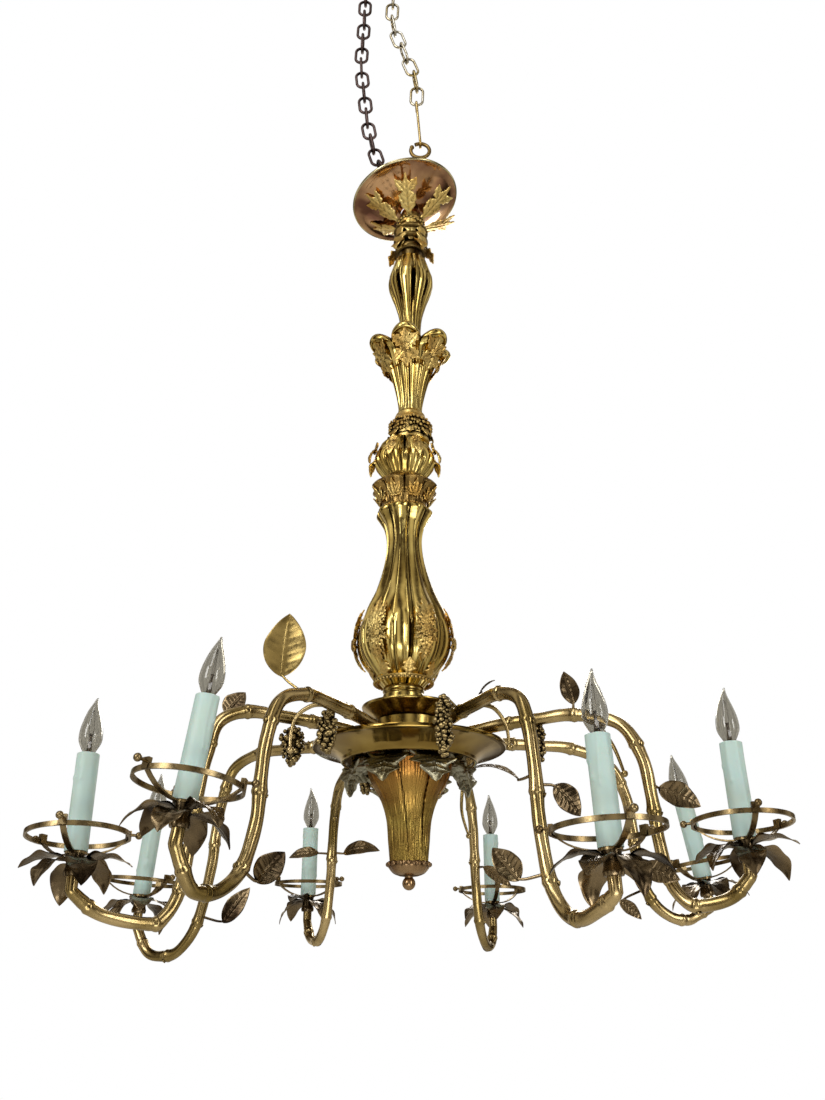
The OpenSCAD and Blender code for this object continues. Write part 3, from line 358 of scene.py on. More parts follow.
# Fire-gilt brass casting: rich yellow on the heights, red-brown patina and painted shade in the chased
# hollows
gilt_casting = metal(
    "gilt_casting", "#f3d98c", "#cda152", "#33200e", 0.34, 1.4, 0.05, hollow_mm=6.0, open_share=0.66
)
piece("canopy_leaves", canopy_leaves, gilt_casting, "gilt_castings", "canopy_sprays")

# ---------------- upper stem
# A turned tube between the pear and the slip ring, with a foot moulding and two raised rings. Its
# colour is painted almost black: painted shade for the shade of the leaves over it.
bore = 7.0
stem = [[bore, 942], [21, 942], [21, 956], [24, 956.5], [26, 959]]
stem += [[26.4, 962], [26, 965], [24, 967.5], [20, 968]]
for ring_z in (985, 1004):
    stem += [[17, ring_z - 6], [27, ring_z - 4], [28.5, ring_z - 2]]
    stem += [[28.5, ring_z], [27, ring_z + 2], [17, ring_z + 3]]
stem += [[17, 1028], [19, 1030], [19, 1036.1], [bore, 1036.1]]
# Brass under old brown lacquer, darkened with painted shade as it stands in the shade of the leaves
dark_brass = metal("dark_brass", "#7d683a", "#55442a", "#1c140b", 0.3, 1.6, 0.04)
piece("stem_tube", [lathe(stem)], dark_brass, "dark_bronze", "upper_stem")

# ---------------- pear baluster
# A hollow casting of eight swelling gadroons with dark flutes between them, standing in the goblet.
# Cast brass, burnished on the crests and left matt in the flutes, which are darkened with patina and painted
# shade.


def lobed(profile, per_lobe, bead, start=0.0, ribs=0, slot=0.0, strip=0.0, aside=0.0, relief=0.0):
    """Shell of a hollow eight-lobed casting, under a profile of [radius, height, groove depth, rib depth].

    Round the axis the radius falls from each crest to the groove beside it by the depth times
    1 - |sin(4 a)|^0.7, down to a flat strip. A bead is a fillet that stands up along both sides of each
    groove. The last depth is that of channels that meet in sharp ribs, or of a deeper slot in each groove.
    """
    radius, height, depth, cut = np.asarray(profile, float).T[..., None]
    angle = full_turn(8 * per_lobe)
    wave = np.abs(np.sin(4 * angle))
    fillet = np.exp(-(((wave - max(strip + 0.12, slot + 0.2)) / 0.075) ** 2))
    radius = radius * (1 - depth * (1 - np.maximum(wave, strip) ** 0.7)) + bead * depth / depth.max() * fillet
    if ribs:
        radius = radius - cut * np.abs(np.sin(ribs * angle / 2))
    if slot:
        radius = radius - cut * np.exp(-((wave / slot) ** 4))
    outer = round_axis(radius + relief, angle + math.radians(start), height) - [aside, 0, 0]
    ends = turned([[bore, height[-1, 0]], [bore, height[0, 0]]], 8 * per_lobe) @ turn("Z", start).T
    return shell(np.concatenate([outer, ends]), loop=True)


# Burnished gilt brass, the chief metal of the column
gilt_brass = metal("gilt_brass", "#f4dc8a", "#b99c52", "#33220f", 0.17, 7.0, 0.02, hollow_mm=9.0, open_share=0.62)
pear_z, pear_h = 768.3, 173.7
pear = [[15, 0, 0.02, 0], [15.5, 0.1, 0.05, 0], [17.5, 0.32, 0.1, 0], [25, 0.5, 0.14, 0.5]]
pear += [[31, 0.6, 0.12, 4], [36, 0.7, 0.12, 6], [36, 0.78, 0.12, 3], [34, 0.83, 0.12, 0.5]]
pear += [[25, 1, 0.05, 0]]
pear = smooth([[r, pear_z + pear_h * share, depth, slot] for r, share, depth, slot in pear], 8)
pear_shell = lobed(pear, per_lobe=40, bead=1.4, start=8, slot=0.3)
piece("pear", [pear_shell], gilt_brass, "gilt_brass", "pear_baluster")

# ---------------- goblet and its sprays
# Six fluted petals rise to rolled lips round the pear's foot; a spray of leaves and berries is
# soldered high on the crest of each. Cast brass, gilt.
goblet_low, goblet_high, petal_turn, lip_drop = 645, 781, -9, 15.0
goblet_h = goblet_high - goblet_low
goblet = [[21.5, 0, 0.02, 0.3], [18.5, 0.07, 0.06, 0.7], [21, 0.22, 0.1, 1.2], [28, 0.44, 0.13, 1.6]]
goblet += [[36.5, 0.64, 0.16, 1.8], [45, 0.79, 0.2, 1.8], [53, 0.855, 0.26, 1.4], [59, 0.89, 0.3, 0.8]]
goblet += [[62, 0.893, 0.32, 0.4], [64.6, 0.885, 0.33, 0.3], [67, 0.905, 0.34, 0.2], [66.6, 0.94, 0.34, 0.2]]
goblet += [[63.5, 0.975, 0.34, 0.2], [59, 0.992, 0.34, 0.1], [55, 0.98, 0.34, 0]]
goblet = smooth([[r, goblet_low + goblet_h * share, depth, rib] for r, share, depth, rib in goblet], 8)
goblet_inside = [[52, 774, 0.33, 0], [49, 768, 0.28, 0], [40, 762, 0.2, 0], [28, 758, 0.08, 0]]
goblet_inside += [[16, 757, 0.02, 0], [16, 769, 0, 0], [bore, 769, 0, 0], [bore, goblet_low, 0, 0]]
# The radius falls by depth times 1 - |sin(3 a)|^0.7 between the petals, and by the ribs' depth times
# |sin(15 a)| into five channels on each; over its top quarter a petal bends down to the groove
radius, height, depth, rib = np.concatenate([goblet, goblet_inside]).T[..., None]
petal_angle = full_turn(6 * 60)
wave = np.abs(np.sin(3 * petal_angle))
radius = radius * (1 - depth * (1 - wave**0.7)) - rib * np.abs(np.sin(15 * petal_angle))
near_lip = np.clip((height - goblet_low) / goblet_h * 4 - 3, 0, 1) ** 1.5
height = height - near_lip * lip_drop * (1 - wave**1.2)
petals = shell(round_axis(radius, petal_angle + math.radians(petal_turn), height), loop=True)
piece("goblet_petals", [petals], gilt_brass, "gilt_brass", "goblet")


def spray(size, leaves, width, berry, steps, teeth=3):
    """A spray of leaves in the plane that faces +X, with a knot of berries in a spiral over its middle.

    A leaf is its direction, its length as a share of the size, and how far it bends back towards -X.
    """
    parts = []
    for direction, share, curl in leaves:
        broad = size * width * share**0.5
        blade = leaf(size * share, broad, -curl, -0.1, 0.26, teeth=teeth, veins=9, steps=steps, thick=1.8)
        blade = moved(blade, shift=[size * 0.12, 0, 0])
        parts.append(moved(blade, turn("X", direction - 90) @ turn("Y", -90)))
    count, spiral_turn = 26, 2.4
    k = np.arange(count)
    out = size * 0.24 * np.sqrt(k / count)
    dome = 2.4 * (1 - k / count) - 0.6
    places = np.stack([dome, out * np.cos(spiral_turn * k), out * np.sin(spiral_turn * k)], -1)
    places += np.random.default_rng(1).normal(0, 0.3, places.shape)
    return parts + [berries(places, berry)]


def radius_at(profile, height):
    """Radius of a rising profile at a height."""
    return float(np.interp(height, profile[:, 1], profile[:, 0]))


spray_z = goblet_low + 0.72 * goblet_h
rising = goblet[:41]
sprig = [[90, 1.1, -14], [45, 1.05, -6], [135, 1.05, -6], [270, 1.1, 6], [225, 1, 2], [315, 1, 2]]
sprig = spray(25, sprig, width=0.6, berry=2.2, steps=(22, 6))
sprig = laid(sprig, turn("Y", 25), shift=[radius_at(rising, spray_z) + 4.6, 0, spray_z])
goblet_sprays = ring_of(sprig, 6, 30 + petal_turn)
piece("goblet_leaf_sprays", goblet_sprays, gilt_casting, "gilt_castings", "goblet_sprays")

# ---------------- flower collar
# A ring of rough flowers above the cup, with pointed leaves hanging from it: one brass casting,
# gilt, whose deep undercuts are painted dark with patina and painted shade.
flower_low, flower_high, flower_rows, flowers_round = 597, 644.7, 4, 34
outside = [[28, 605], [29, 610], [28.5, 618], [29, 626], [27.5, 633], [24, 639], [22.5, flower_high]]
inside = [[bore, flower_high], [bore, flower_low], [29, flower_low], [29.6, 599], [29, 602]]
inside += [[26, 603], [26, 605]]
flowers = [lathe(np.concatenate([smooth(outside, 5), inside]), 72)]
chance = np.random.default_rng(5)
row, place = np.divmod(np.arange(flower_rows * flowers_round), flowers_round)
petals = round_axis(31, (place + 0.5 * (row % 2)) * 2 * np.pi / flowers_round, 609.5 + 6.4 * row)
flowers.append(berries(petals + chance.normal(0, 0.9, petals.shape), chance.uniform(1.7, 3.1, len(petals))))
pointed = leaf(10, 12, -14, 0.1, 0.15, veins=4, steps=(14, 5))
flowers += ring_of([moved(pointed, turn("Y", 78), [32, 0, 609])], 8)
piece("flower_ring", flowers, gilt_casting, "gilt_brass", "flower_collar")

# ---------------- shell cup and its leaves
# An eight-lobed cup like a scallop shell, its channels fanning up to a curled lip, with a leaf laid
# up every lobe, one hooked down over it, and a berry where they meet. Cast brass, gilt.
vase_rest = 8  # the cup, the collar and the vase rest on the rod's other side, this far towards -X
cup_low, cup_h = 534, 62.7
cup = [[26, 0, 0.03, 0.8], [32, 0.12, 0.09, 1.3], [40, 0.27, 0.12, 1.7], [45.5, 0.42, 0.14, 1.9]]
cup += [[46, 0.54, 0.18, 1.7], [43, 0.68, 0.25, 1.2], [39.5, 0.8, 0.3, 0.6], [36.5, 0.9, 0.34, 0.2]]
cup += [[31, 1, 0.1, 0.1]]
cup = smooth([[r, cup_low + cup_h * share, depth, rib] for r, share, depth, rib in cup], 7)
cup_shell = lobed(cup, per_lobe=40, bead=0.8, ribs=40, aside=vase_rest)
piece("scallop_cup", [cup_shell], gilt_brass, "gilt_brass", "shell_cup")
leaf_z = cup_low + 0.66 * cup_h
leaf_r = radius_at(cup, leaf_z) + 2.8
laid_up = leaf(15, 14, -20, 0.2, 0.16, veins=5, steps=(24, 6), thick=1.8)
hooked_down = leaf(29, 18, 66, 0.1, 0.12, teeth=2, veins=6, steps=(28, 7), thick=2)
berry_places = [[0.6, 0, 0], [1, 3.4, 1.6], [1, -3.4, 1.6], [1, 0, -3.4], [0.6, 3.6, -3], [0.6, -3.6, -3]]
cup_leaves = [moved(laid_up, turn("Y", -88)), moved(hooked_down, turn("Y", 34), [-2, 0, 2])]
cup_leaves.append(berries(berry_places, 2.2))
cup_leaves = ring_of(laid(cup_leaves, shift=[leaf_r, 0, leaf_z]), 8, 22.5)
cup_leaves = laid(cup_leaves, shift=[-vase_rest, 0, 0])
piece("cup_leaf_sprays", cup_leaves, gilt_casting, "gilt_castings", "cup_sprays")

# ---------------- leaf collar
# A collar over the vase's mouth: eight pointed corners, each with a palmette of five leaves on its
# face, and a plain dark slope above them. Cast brass, gilt.
collar = [[31, 482.3, 0.02, 0], [33, 485, 0.04, 0.2], [34.5, 495, 0.09, 0.8], [41, 508, 0.14, 1.0]]
collar += [[49, 517.5, 0.19, 0.3], [49.5, 520, 0.19, 0.2], [44, 526, 0.14, 0.6], [37, 531, 0.08, 0.4]]
collar = smooth(collar + [[30, 533.7, 0.02, 0.1]], 7)
collar_shell = lobed(collar, per_lobe=30, bead=0.8, ribs=40, aside=vase_rest)
palmettes = []
for spread in (-56, -29, 0, 29, 56):
    blade = leaf(25 - abs(spread) / 7, 9, 6 - abs(spread), 0.1, 0.14, veins=5, steps=(20, 5), thick=2.0)
    blade = moved(blade, turn("Y", -59) @ turn("Z", spread), [36.4, 0, 494])
    palmettes += ring_of([blade], 8, 22.5)
palmettes.append(berries(round_axis(33, full_turn(44), 485), 1.9))
palmettes = laid(palmettes, shift=[-vase_rest, 0, 0])
# The collar's own skin keeps more of its brown lacquer than the palmettes
aged_gilt = metal("aged_gilt", "#b09054", "#7a6236", "#2a1c0c", 0.27, 2.4, 0.03)
piece("leaf_collar_casting", [collar_shell], aged_gilt, "gilt_brass", "leaf_collar")
piece("collar_palmettes", palmettes, gilt_casting, "gilt_castings")

# ---------------- vase and its sprays
# The largest casting: eight polished lobes that narrow into a fluted neck, parted by grooves with
# a raised fillet on both sides, with a ring of sixteen round-topped petals in low relief about its
# foot. Six sprays stand on its belly, and a leafy edge closes its foot.
vase_turn, vase_per_lobe = 10, 52
vase = [[26, 217, 0.06, 0.2], [44, 235, 0.11, 0.8], [61, 259, 0.13, 1.2], [66, 287, 0.13, 1.2]]
vase += [[58, 321, 0.13, 1.2], [42, 357, 0.13, 1.3], [30, 397, 0.13, 1.3], [25.8, 430, 0.13, 1.2]]
vase += [[29.3, 454, 0.15, 1.2], [36.5, 468, 0.17, 1.0], [41.4, 476, 0.17, 0.7], [40, 480.6, 0.1, 0.3]]
vase = smooth(vase + [[33, 482, 0.03, 0]], 10)
# The petals' tops are 14 |sin(8 a)|^0.6 above 296 mm. Under them the skin stands out by
# 3.6 |sin(8 a)|^0.5 less 2.6 mm.
half_wave = np.abs(np.sin(8 * full_turn(8 * vase_per_lobe)))
petal_top = 296 + 14 * half_wave**0.6
on_petal = 1 / (1 + np.exp(-(petal_top - vase[:, 1, None]) / 1.2))
relief = on_petal * (3.6 * half_wave**0.5 - 2.6)
lobes = {"per_lobe": vase_per_lobe, "bead": 2.0, "start": vase_turn, "ribs": 16, "strip": 0.12}
vase_shell = lobed(vase, aside=vase_rest, relief=relief, **lobes)
piece("vase_casting", [vase_shell], gilt_brass, "gilt_brass", "vase")
belly_z, edge_z = 279, 222
edge_r = radius_at(vase, edge_z + 5) + 0.3
bough = [[90, 1.5, 30], [76, 1.25, 26], [104, 1.2, 26], [60, 0.7, 16], [122, 0.75, 16], [270, 1.15, 52]]
bough += [[256, 0.95, 44], [284, 0.9, 44], [10, 0.4, 20], [170, 0.4, 20], [215, 0.5, 26], [325, 0.5, 26]]
bough = spray(34, bough, width=0.34, berry=2.8, steps=(40, 7), teeth=5)
bough = laid(bough, shift=[radius_at(vase, belly_z) + 2.4, 0, belly_z])
edge_leaf = leaf(24, 17, -24, 0.2, 0.25, veins=5, steps=(24, 6), ruffle=0.1)
edge_leaf = moved(edge_leaf, turn("Y", -52), [edge_r + 2.5, 0, edge_z + 3])
edge_ring = [[edge_r, edge_z], [edge_r + 1.5, edge_z], [edge_r + 4, edge_z + 5], [edge_r, edge_z + 5]]
vase_sprays = ring_of(bough, 6, -3) + ring_of([edge_leaf], 8, vase_turn)
vase_sprays += [berries(round_axis(edge_r + 2.6, full_turn(44), edge_z + 1.5), 2.1), lathe(edge_ring)]
vase_sprays = laid(vase_sprays, shift=[-vase_rest, 0, 0])
piece("vase_leaf_sprays", vase_sprays, gilt_casting, "gilt_castings", "vase_sprays")

# ---------------- neck, saucer, hub and pan
# Turned brass seats of the arms: a plain neck, a saucer over the hub, the hub with its bosses, and
# a wide pan whose polished cove faces down. Spun and turned on the lathe, then lacquered.
neck_low, neck_high = 191, 216.7
neck = [[30, neck_low], [27.6, 194], [27.2, 200], [27.6, 206], [26.4, 209], [28, 212], [27, neck_high]]
neck = smooth(neck, 5)
neck_rings = turned(np.concatenate([neck, [[bore, neck_high], [bore, neck_low]]]))
# Its outside is set aside with the vase, and its bore stays round the rod
neck_rings[: len(neck), :, 0] -= vase_rest
# Turned brass with a satin lacquer that has browned
satin_brass = metal("satin_brass", "#b9a15e", "#8a7138", "#2a1d0e", 0.2, 6.0, 0.02)
piece("neck_tube", [shell(neck_rings, loop=True)], satin_brass, "gilt_brass", "neck_collar")
saucer = [[bore, 171.3], [40, 171.3], [46, 174.3], [52, 178.6], [57.5, 183.3]]
saucer += [[61.5, 186.4], [63, 188], [63.5, 189.6], [63, 190.7], [bore, 190.7]]
piece("saucer_plate", [lathe(saucer, 128)], satin_brass, "gilt_brass", "saucer")
finish_nodes(satin_brass, "arm_hub")
# The pan's profile is steps inwards from its rim and upwards from its web
pan_r, web = 127, 118
pan_low = [[44, 0], [43.6, -2.1], [42.4, -2.6], [39, -2.5], [37.8, -1.6]]
cove = smooth([[37, 1], [30, 6], [16, 12], [6, 15]], 6)
pan_edge = [[1, 15.6], [0, 17], [-0.2, 19], [0.6, 21], [2, 21.2]]
pan_top = smooth([[2.6, 18.5], [8, 17.5], [18, 14.5], [32, 8.5], [40, 2.5]], 4)
pan = [pan_r, web] + np.concatenate([pan_low, cove, pan_edge, pan_top]) * [-1, 1]
pan = np.concatenate([[[bore, web]], pan, [[bore, web + 2.5]]])
# Brass spun and polished, its lacquer gone brown: it mirrors the dark floor and the pale walls
polished_brass = metal("polished_brass", "#a98f4d", "#7a602b", "#21160a", 0.12, 8.0, 0.02, hollow_mm=7.0)
piece("pan_dish", [lathe(pan, 160)], polished_brass, "gilt_brass", "pan")

# ---------------- acanthus crown
# Eight leaves fold out over the mouth of the bell, with scrolled lobes and a strong midrib, and a
# plate joins their feet. Sheet brass, pressed and silvered.
crown_z, plate_r = 115.3, 55
crown_leaf = leaf(56, 54, 96, 0.1, 0.2, teeth=4, veins=8, steps=(60, 16), ruffle=0.14, thick=2.4)
crown = ring_of([moved(crown_leaf, shift=[51, 0, crown_z])], 8, 22.5)
plate = [[bore, crown_z - 1], [plate_r, crown_z - 1], [plate_r, crown_z + 1], [bore, crown_z + 1]]
crown.append(lathe(plate))
# Silver over brass: it has greyed, and shows yellow at the rubbed edges
silvered_brass = metal("silvered_brass", "#a9a793", "#7c7459", "#1f1910", 0.3, 3.0, 0.04, hollow_mm=9.0)
piece("crown_leaves", crown, silvered_brass, "silvered_leaf", "acanthus_crown")

# ---------------- bell
# A trumpet of eight long leaves wrapped round one another, with a fine upright fibre and a midrib
# down each, closed below by the beaded collar. Cast brass, gilt.
bell_low, bell_high, bell_sides = -8, 114, 384
bell_line = smooth([[24.4, bell_low], [26.6, 16], [29.4, 45], [37.4, 70], [50, 92], [57, bell_high]], 14)
radius, height = bell_line.T[..., None]
share = (height - bell_low) / (bell_high - bell_low)
bell_angle = full_turn(bell_sides)
# Each leaf tucks under the next by up to 3.6 mm over the last 14 % of its width
wrap = (bell_angle * 8 / (2 * np.pi) + 0.35 * share) % 1
tuck = np.clip((wrap - 0.86) / 0.14, 0, 1) * 3.6 * share**0.7
midrib = np.exp(-(((wrap - 0.45) / 0.05) ** 2)) * 0.5
# The fibre is 88 waves round of 0.16 mm, which sway with the height, and 131 of 0.1 mm
fibre = 0.16 * np.sin(bell_angle * 88 + 3 * np.sin(5 * share)) + 0.1 * np.sin(bell_angle * 131)
bell_outer = round_axis(radius - tuck + midrib + fibre - 0.4, bell_angle, height)
bell_inner = turned([[54, bell_high], [47, 94], [bore, 90], [bore, bell_low]], bell_sides)
# Gilding under an amber lacquer, darker and redder towards the mouth
height_tint = ("#96602c", 35, 115)
amber_gilt = metal(
    "amber_gilt", "#bfa858", "#93753a", "#2d1b08", 0.3, 2.4, 0.03, hollow_mm=3.0, height_tint=height_tint
)
bell_shell = shell(np.concatenate([bell_outer, bell_inner]), loop=True)
piece("bell_casting", [bell_shell], amber_gilt, "amber_gilt", "bell", crease=60)

# ---------------- bell collar and finial
# A scalloped cup with sixteen beads closes the bell; the turned ball finial under it screws on the
# rod's end and holds the column together. Copper-brown brass.
cup_foot, cup_top = -24, -8.3
radius, height = smooth([[13, cup_foot], [20, -21], [25, -15], [26, -11], [25.5, cup_top]], 5).T[..., None]
scallop_angle = full_turn(160)
scallop = 0.9 * np.abs(np.sin(8 * scallop_angle)) ** 0.6 * np.clip((height - cup_foot) / 10, 0, 1)
outer = round_axis(radius + scallop - 0.5, scallop_angle, height)
beaded_cup = [shell(np.concatenate([outer, turned([[bore, cup_top], [bore, cup_foot]], 160)]), loop=True)]
beaded_cup.append(berries(round_axis(26, full_turn(16), -10.5), 3.2, around=12, along=8))
# Brass with its zinc boiled out at the surface, so it looks coppery
copper_brass = metal("copper_brass", "#ad8f68", "#7d6144", "#24170d", 0.25, 2.6, 0.03, hollow_mm=4.0)
piece("beaded_cup", beaded_cup, copper_brass, "copper_brass", "bell_collar")
ball_r = 8.25
ball_angle = np.radians(np.arange(-84, 60, 8))
ball = np.stack([ball_r * np.cos(ball_angle), ball_r * np.sin(ball_angle) - finial_drop_mm], -1)
finial = np.concatenate([ball, [[5.2, -26.2], [5.5, -24.3], [3.5, -24.3], [3.5, -35], [0.6, -35.2]]])
piece("finial_ball", [lathe(finial, 64)], copper_brass, "copper_brass", "finial", body="finial")

# ---------------- arms
# Eight branches of cast bronze run out over the pan, arch down and turn up again under the candles.
# Their bark is lightly ridged, with swollen knots, the stubs of cut twigs and hanging tendrils.
candle_names = [f"bulb_{k}_turn" for k in range(1, 9)]
stations = np.array([joints[name]["pos_m"] for name in candle_names]) * 1000 - centre * 1000
station_axes = np.array([joints[name]["axis"] for name in candle_names])
# Each arm's bearing from the front in degrees, and how far its drop and its lowest bend lie further
# out, and that bend further down, than these shared radii and heights say
azimuths = [-57, -30, -115, -157, 161, 26, 60, 106]
run_shift = [-20, 0, -10, -5, 5, -9, 11, 10]
low_shift = [-38, 20, 3, 0, 18, -2, -5, 20]
depth_shift = [10, -7, 30, 2, 8, 14, -9, -14]
ring_circle, root_r, root_z, peak_r, peak_z, drop_r, dip_r, dip_z = 413, 50, 142, 236, 151, 306, 365, 82
arm_d, tip_d, cup_low_z = 16.5, 13, -42


def mix(a, b, share):
    """Value between a and b."""
    return a + (b - a) * share


def outward(k):
    """Level direction from the column towards a candle."""
    a = math.radians(azimuths[k])
    return np.array([math.sin(a), -math.cos(a), 0])


def arm_line(k, steps=24):
    """Centre line of an arm: out of the hub, over the pan, down, and up again to its candle."""
    axis = station_axes[k]
    seat = stations[k] + cup_low_z * axis
    r, low_r, low_z = drop_r + run_shift[k], dip_r + low_shift[k], -dip_z - depth_shift[k]
    run = [[root_r + 1.5, root_z], [root_r + 12, root_z + 1.6], [125, root_z + 8.5], [185, peak_z + 1]]
    run += [[peak_r - 4, peak_z], [mix(peak_r, r, 0.62), peak_z - 18], [r - 7, 92], [r, 45], [r + 3, 0]]
    run += [[mix(r, low_r, 0.26), mix(0, low_z, 0.62)], [mix(r, low_r, 0.62), mix(0, low_z, 0.93)]]
    run += [[low_r, low_z], [mix(low_r, ring_circle, 0.6), low_z + 7]]
    bent = [out * outward(k) + [0, 0, z] for out, z in run]
    root = root_r * outward(k) + [0, 0, root_z]
    return np.concatenate([[root], smooth(bent + [seat - 14 * axis], steps), [seat - 6 * axis, seat]])


def directions(path):
    """Unit direction at each point of a path."""
    step = np.empty_like(path)
    step[1:-1] = path[2:] - path[:-2]
    step[0], step[-1] = path[1] - path[0], path[-1] - path[-2]
    return step / np.linalg.norm(step, axis=1)[:, None]


def bar(path, radius, sides):
    """Shell of a bar along a path; radius has one row for each point, and may vary round it."""
    path = np.asarray(path, float)
    way = directions(path)
    side = np.empty_like(path)
    # A direction that no path follows, carried along without twist
    axis = np.array([0.31, 0.95, 0.05])
    for k, heading in enumerate(way):
        axis = axis - (axis @ heading) * heading
        axis /= np.linalg.norm(axis)
        side[k] = axis
    rows = np.asarray(radius, float).reshape(len(path), -1)
    reach = np.broadcast_to(rows, (len(path), sides))[..., None]
    angle = full_turn(sides)[None, :, None]
    around = np.cos(angle) * side[:, None] + np.sin(angle) * np.cross(way, side)[:, None]
    return shell(path[:, None] + reach * around)


def branch(k, seed):
    """Shells of one arm and its twig stubs: its radius narrows to the tip by (share of its length)^0.8.

    The bark has five and nine shallow ridges round it. At every fifth step is a knot, where the radius
    swells by 12 % over 9 mm and 10 % over 2 mm and dips by 7 % beyond, with a stub leaning out of it.
    """
    fine, sides = 8, 24
    path = arm_line(k, 3 * fine)
    chance = np.random.default_rng(seed)
    count = len(path) - 4
    place = np.concatenate([[0], np.arange(count + 1) / fine + 1, [count / fine + 2, count / fine + 3]])
    radius = mix(arm_d, tip_d, (place / place[-1]) ** 0.8) / 2
    length = np.concatenate([[0], np.cumsum(np.linalg.norm(np.diff(path, axis=0), axis=1))])
    knot_at = np.interp(np.arange(3, place[-1] - 3, 5), place, length)
    gap = length[:, None] - knot_at[None, :]
    swell = 0.12 * np.exp(-((gap / 9) ** 2)) + 0.1 * np.exp(-((gap / 2.2) ** 2))
    swell = (swell - 0.07 * np.exp(-(((gap - 4.5) / 1.6) ** 2))).sum(1)[:, None]
    angle, along = full_turn(sides)[None, :], length[:, None]
    ridges = 0.018 * np.sin(5 * angle + along / 60) + 0.01 * np.sin(9 * angle - along / 37)
    lumps = 0.02 * np.sin(along / 7.3 + 2 * angle)
    parts = [bar(path, radius[:, None] * (1 + swell + ridges + lumps), sides)]
    way = directions(path)
    for at in knot_at[1:-1]:
        i = int(np.argmin(np.abs(length - at)))
        lean = chance.normal(0, 1, 3)
        lean -= (lean @ way[i]) * way[i]
        lean /= np.linalg.norm(lean)
        lean[2] = abs(lean[2]) if path[i, 2] > 100 else lean[2]
        stub = path[i] + np.outer(radius[i] * np.array([0, 0.9, 1.35, 1.4]), lean * 0.9 + way[i] * 0.45)
        parts.append(bar(stub, [3.4, 2.8, 2.9, 2.2], 10))
    return parts


def into_arm(k, point):
    """Step that brings a point near an arm inside it, to half its radius from the centre line."""
    path = arm_line(k)
    nearest = int(np.argmin(np.linalg.norm(path - point, axis=1)))
    offset = point - path[nearest]
    far = np.linalg.norm(offset)
    half = mix(arm_d, tip_d, (nearest / len(path)) ** 0.8) / 4
    return offset * (half / far - 1) if far > half else 0 * offset


# Tendrils by arm, counted from 0: the points from inside the arm to the ball that ends each
tendrils = {
    0: [[-214, -142, 128], [-226, -154, 100], [-234, -163, 74], [-235, -165, 55]],
    1: [[-96, -168, 146], [-114, -160, 147], [-132, -153, 136], [-138, -150, 116], [-138, -150, 97]],
    3: [[-104, 246, 130], [-110, 250, 108], [-113, 255, 83]],
    4: [[84, 244, 146], [80, 243, 98], [90, 245, 60]],
    5: [[84, -172, 143], [100, -160, 141], [113, -152, 124], [117, -150, 98]],
    6: [[222, -128, 142], [240, -137, 108], [250, -140, 75]],
}
# Cast bronze, bronzed brown and rubbed back to yellow on its heights, with patina and painted shade in its
# hollows
branch_bronze = metal(
    "branch_bronze", "#c9b17f", "#84703f", "#1e150a", 0.22, 5.0, 0.03, hollow_mm=6.0, open_share=0.66
)
for k in range(8):
    parts = branch(k, seed=20 + k)
    if k in tendrils:
        points = np.array(tendrils[k]) + into_arm(k, np.array(tendrils[k][0]))
        line = smooth(points, 8)
        parts.append(bar(line, np.linspace(3.0, 1.8, len(line)), 10))
        parts.append(berries([points[-1]], 4.2, around=16, along=12))
    piece(f"branch_{k + 1}", parts, branch_bronze, "bronze_branch", f"arm_{k + 1}")

# ---------------- leaf cups
# On each arm's tip a flared cup carries a whorl of six drooping leaves, cut from sheet brass,
# veined and curled by hand, and bronzed dark. Their raised veins and edges are rubbed bright, and
# patina and painted shade darken the hollows between them.

# How far each candle leans towards +X, in degrees
leaned = [-2, 6, 4, 0, 0, -2, 0, -9]


def at_station(k, parts, spin=0.0):
    """Shells set on a candle's axis, after a turn about it; X stays as near level as the lean lets it."""
    z = station_axes[k]
    x = np.array([math.cos(math.radians(leaned[k])), 0, -math.sin(math.radians(leaned[k]))])
    x = x - (x @ z) * z
    x /= np.linalg.norm(x)
    return laid(parts, np.stack([x, np.cross(z, x), z], -1) @ turn("Z", spin), shift=stations[k])


flare_low, flare_high, flare_bore = -41.7, -20.3, 5.2
flare = smooth([[9.2, flare_low], [10, -38], [8.6, -33], [8.4, -28], [9.5, flare_high]], 5)
flared_cup = lathe(np.concatenate([flare, [[flare_bore, flare_high], [flare_bore, flare_low]]]), 40)
whorls = []
for k in range(8):
    parts = [flared_cup]
    for j in range(6):
        length, curl, droop = 56 - 3 * ((j + k) % 2), 62 + 16 * ((2 * j + k) % 3), 14 * ((j + k) % 3) - 24
        blade = leaf(length, 32, curl, 0.16, veins=7, steps=(30, 9), thick=0.9, ruffle=0.1)
        blade = moved(blade, turn("Y", droop), [7.4, 0, -28 + 3 * (j % 2)])
        parts.append(moved(blade, turn("Z", 60 * j + 23 * k)))
    whorls += at_station(k, parts)
# Sheet brass, bronzed dark brown, with rubbed edges, and patina and painted shade in its hollows
bronzed_sheet = metal(
    "bronzed_sheet", "#8d7a5c", "#30251a", "#0b0704", 0.24, 3.4, 0.05, hollow_mm=8.0, open_share=0.6
)
piece("leaf_whorls", whorls, bronzed_sheet, "bronze_leaf", "leaf_cups")

# ---------------- shade rings and screws
# A flat band on three curved spokes round each candle, with drilled lugs and ball-headed screws
# that would hold a glass shade. Cut and bent brass strip, brazed, with a satin bronze finish.
satin_bronze = metal("satin_bronze", "#9c8964", "#6d5a3b", "#1f150c", 0.28, 2.8, 0.03, hollow_mm=5.0)
finish_nodes(satin_bronze, "shade_rings", "thumb_screws")

# ---------------- candles
# Sleeves like wax candles, of moulded pale blue-green plastic with runs of wax down from the rim.
# The lamp sockets stand inside them.
sleeve_low, sleeve_high, sleeve_r, sleeve_bore_r, sleeve_sides = -17.2, 86.8, 12.0, 10.8, 64


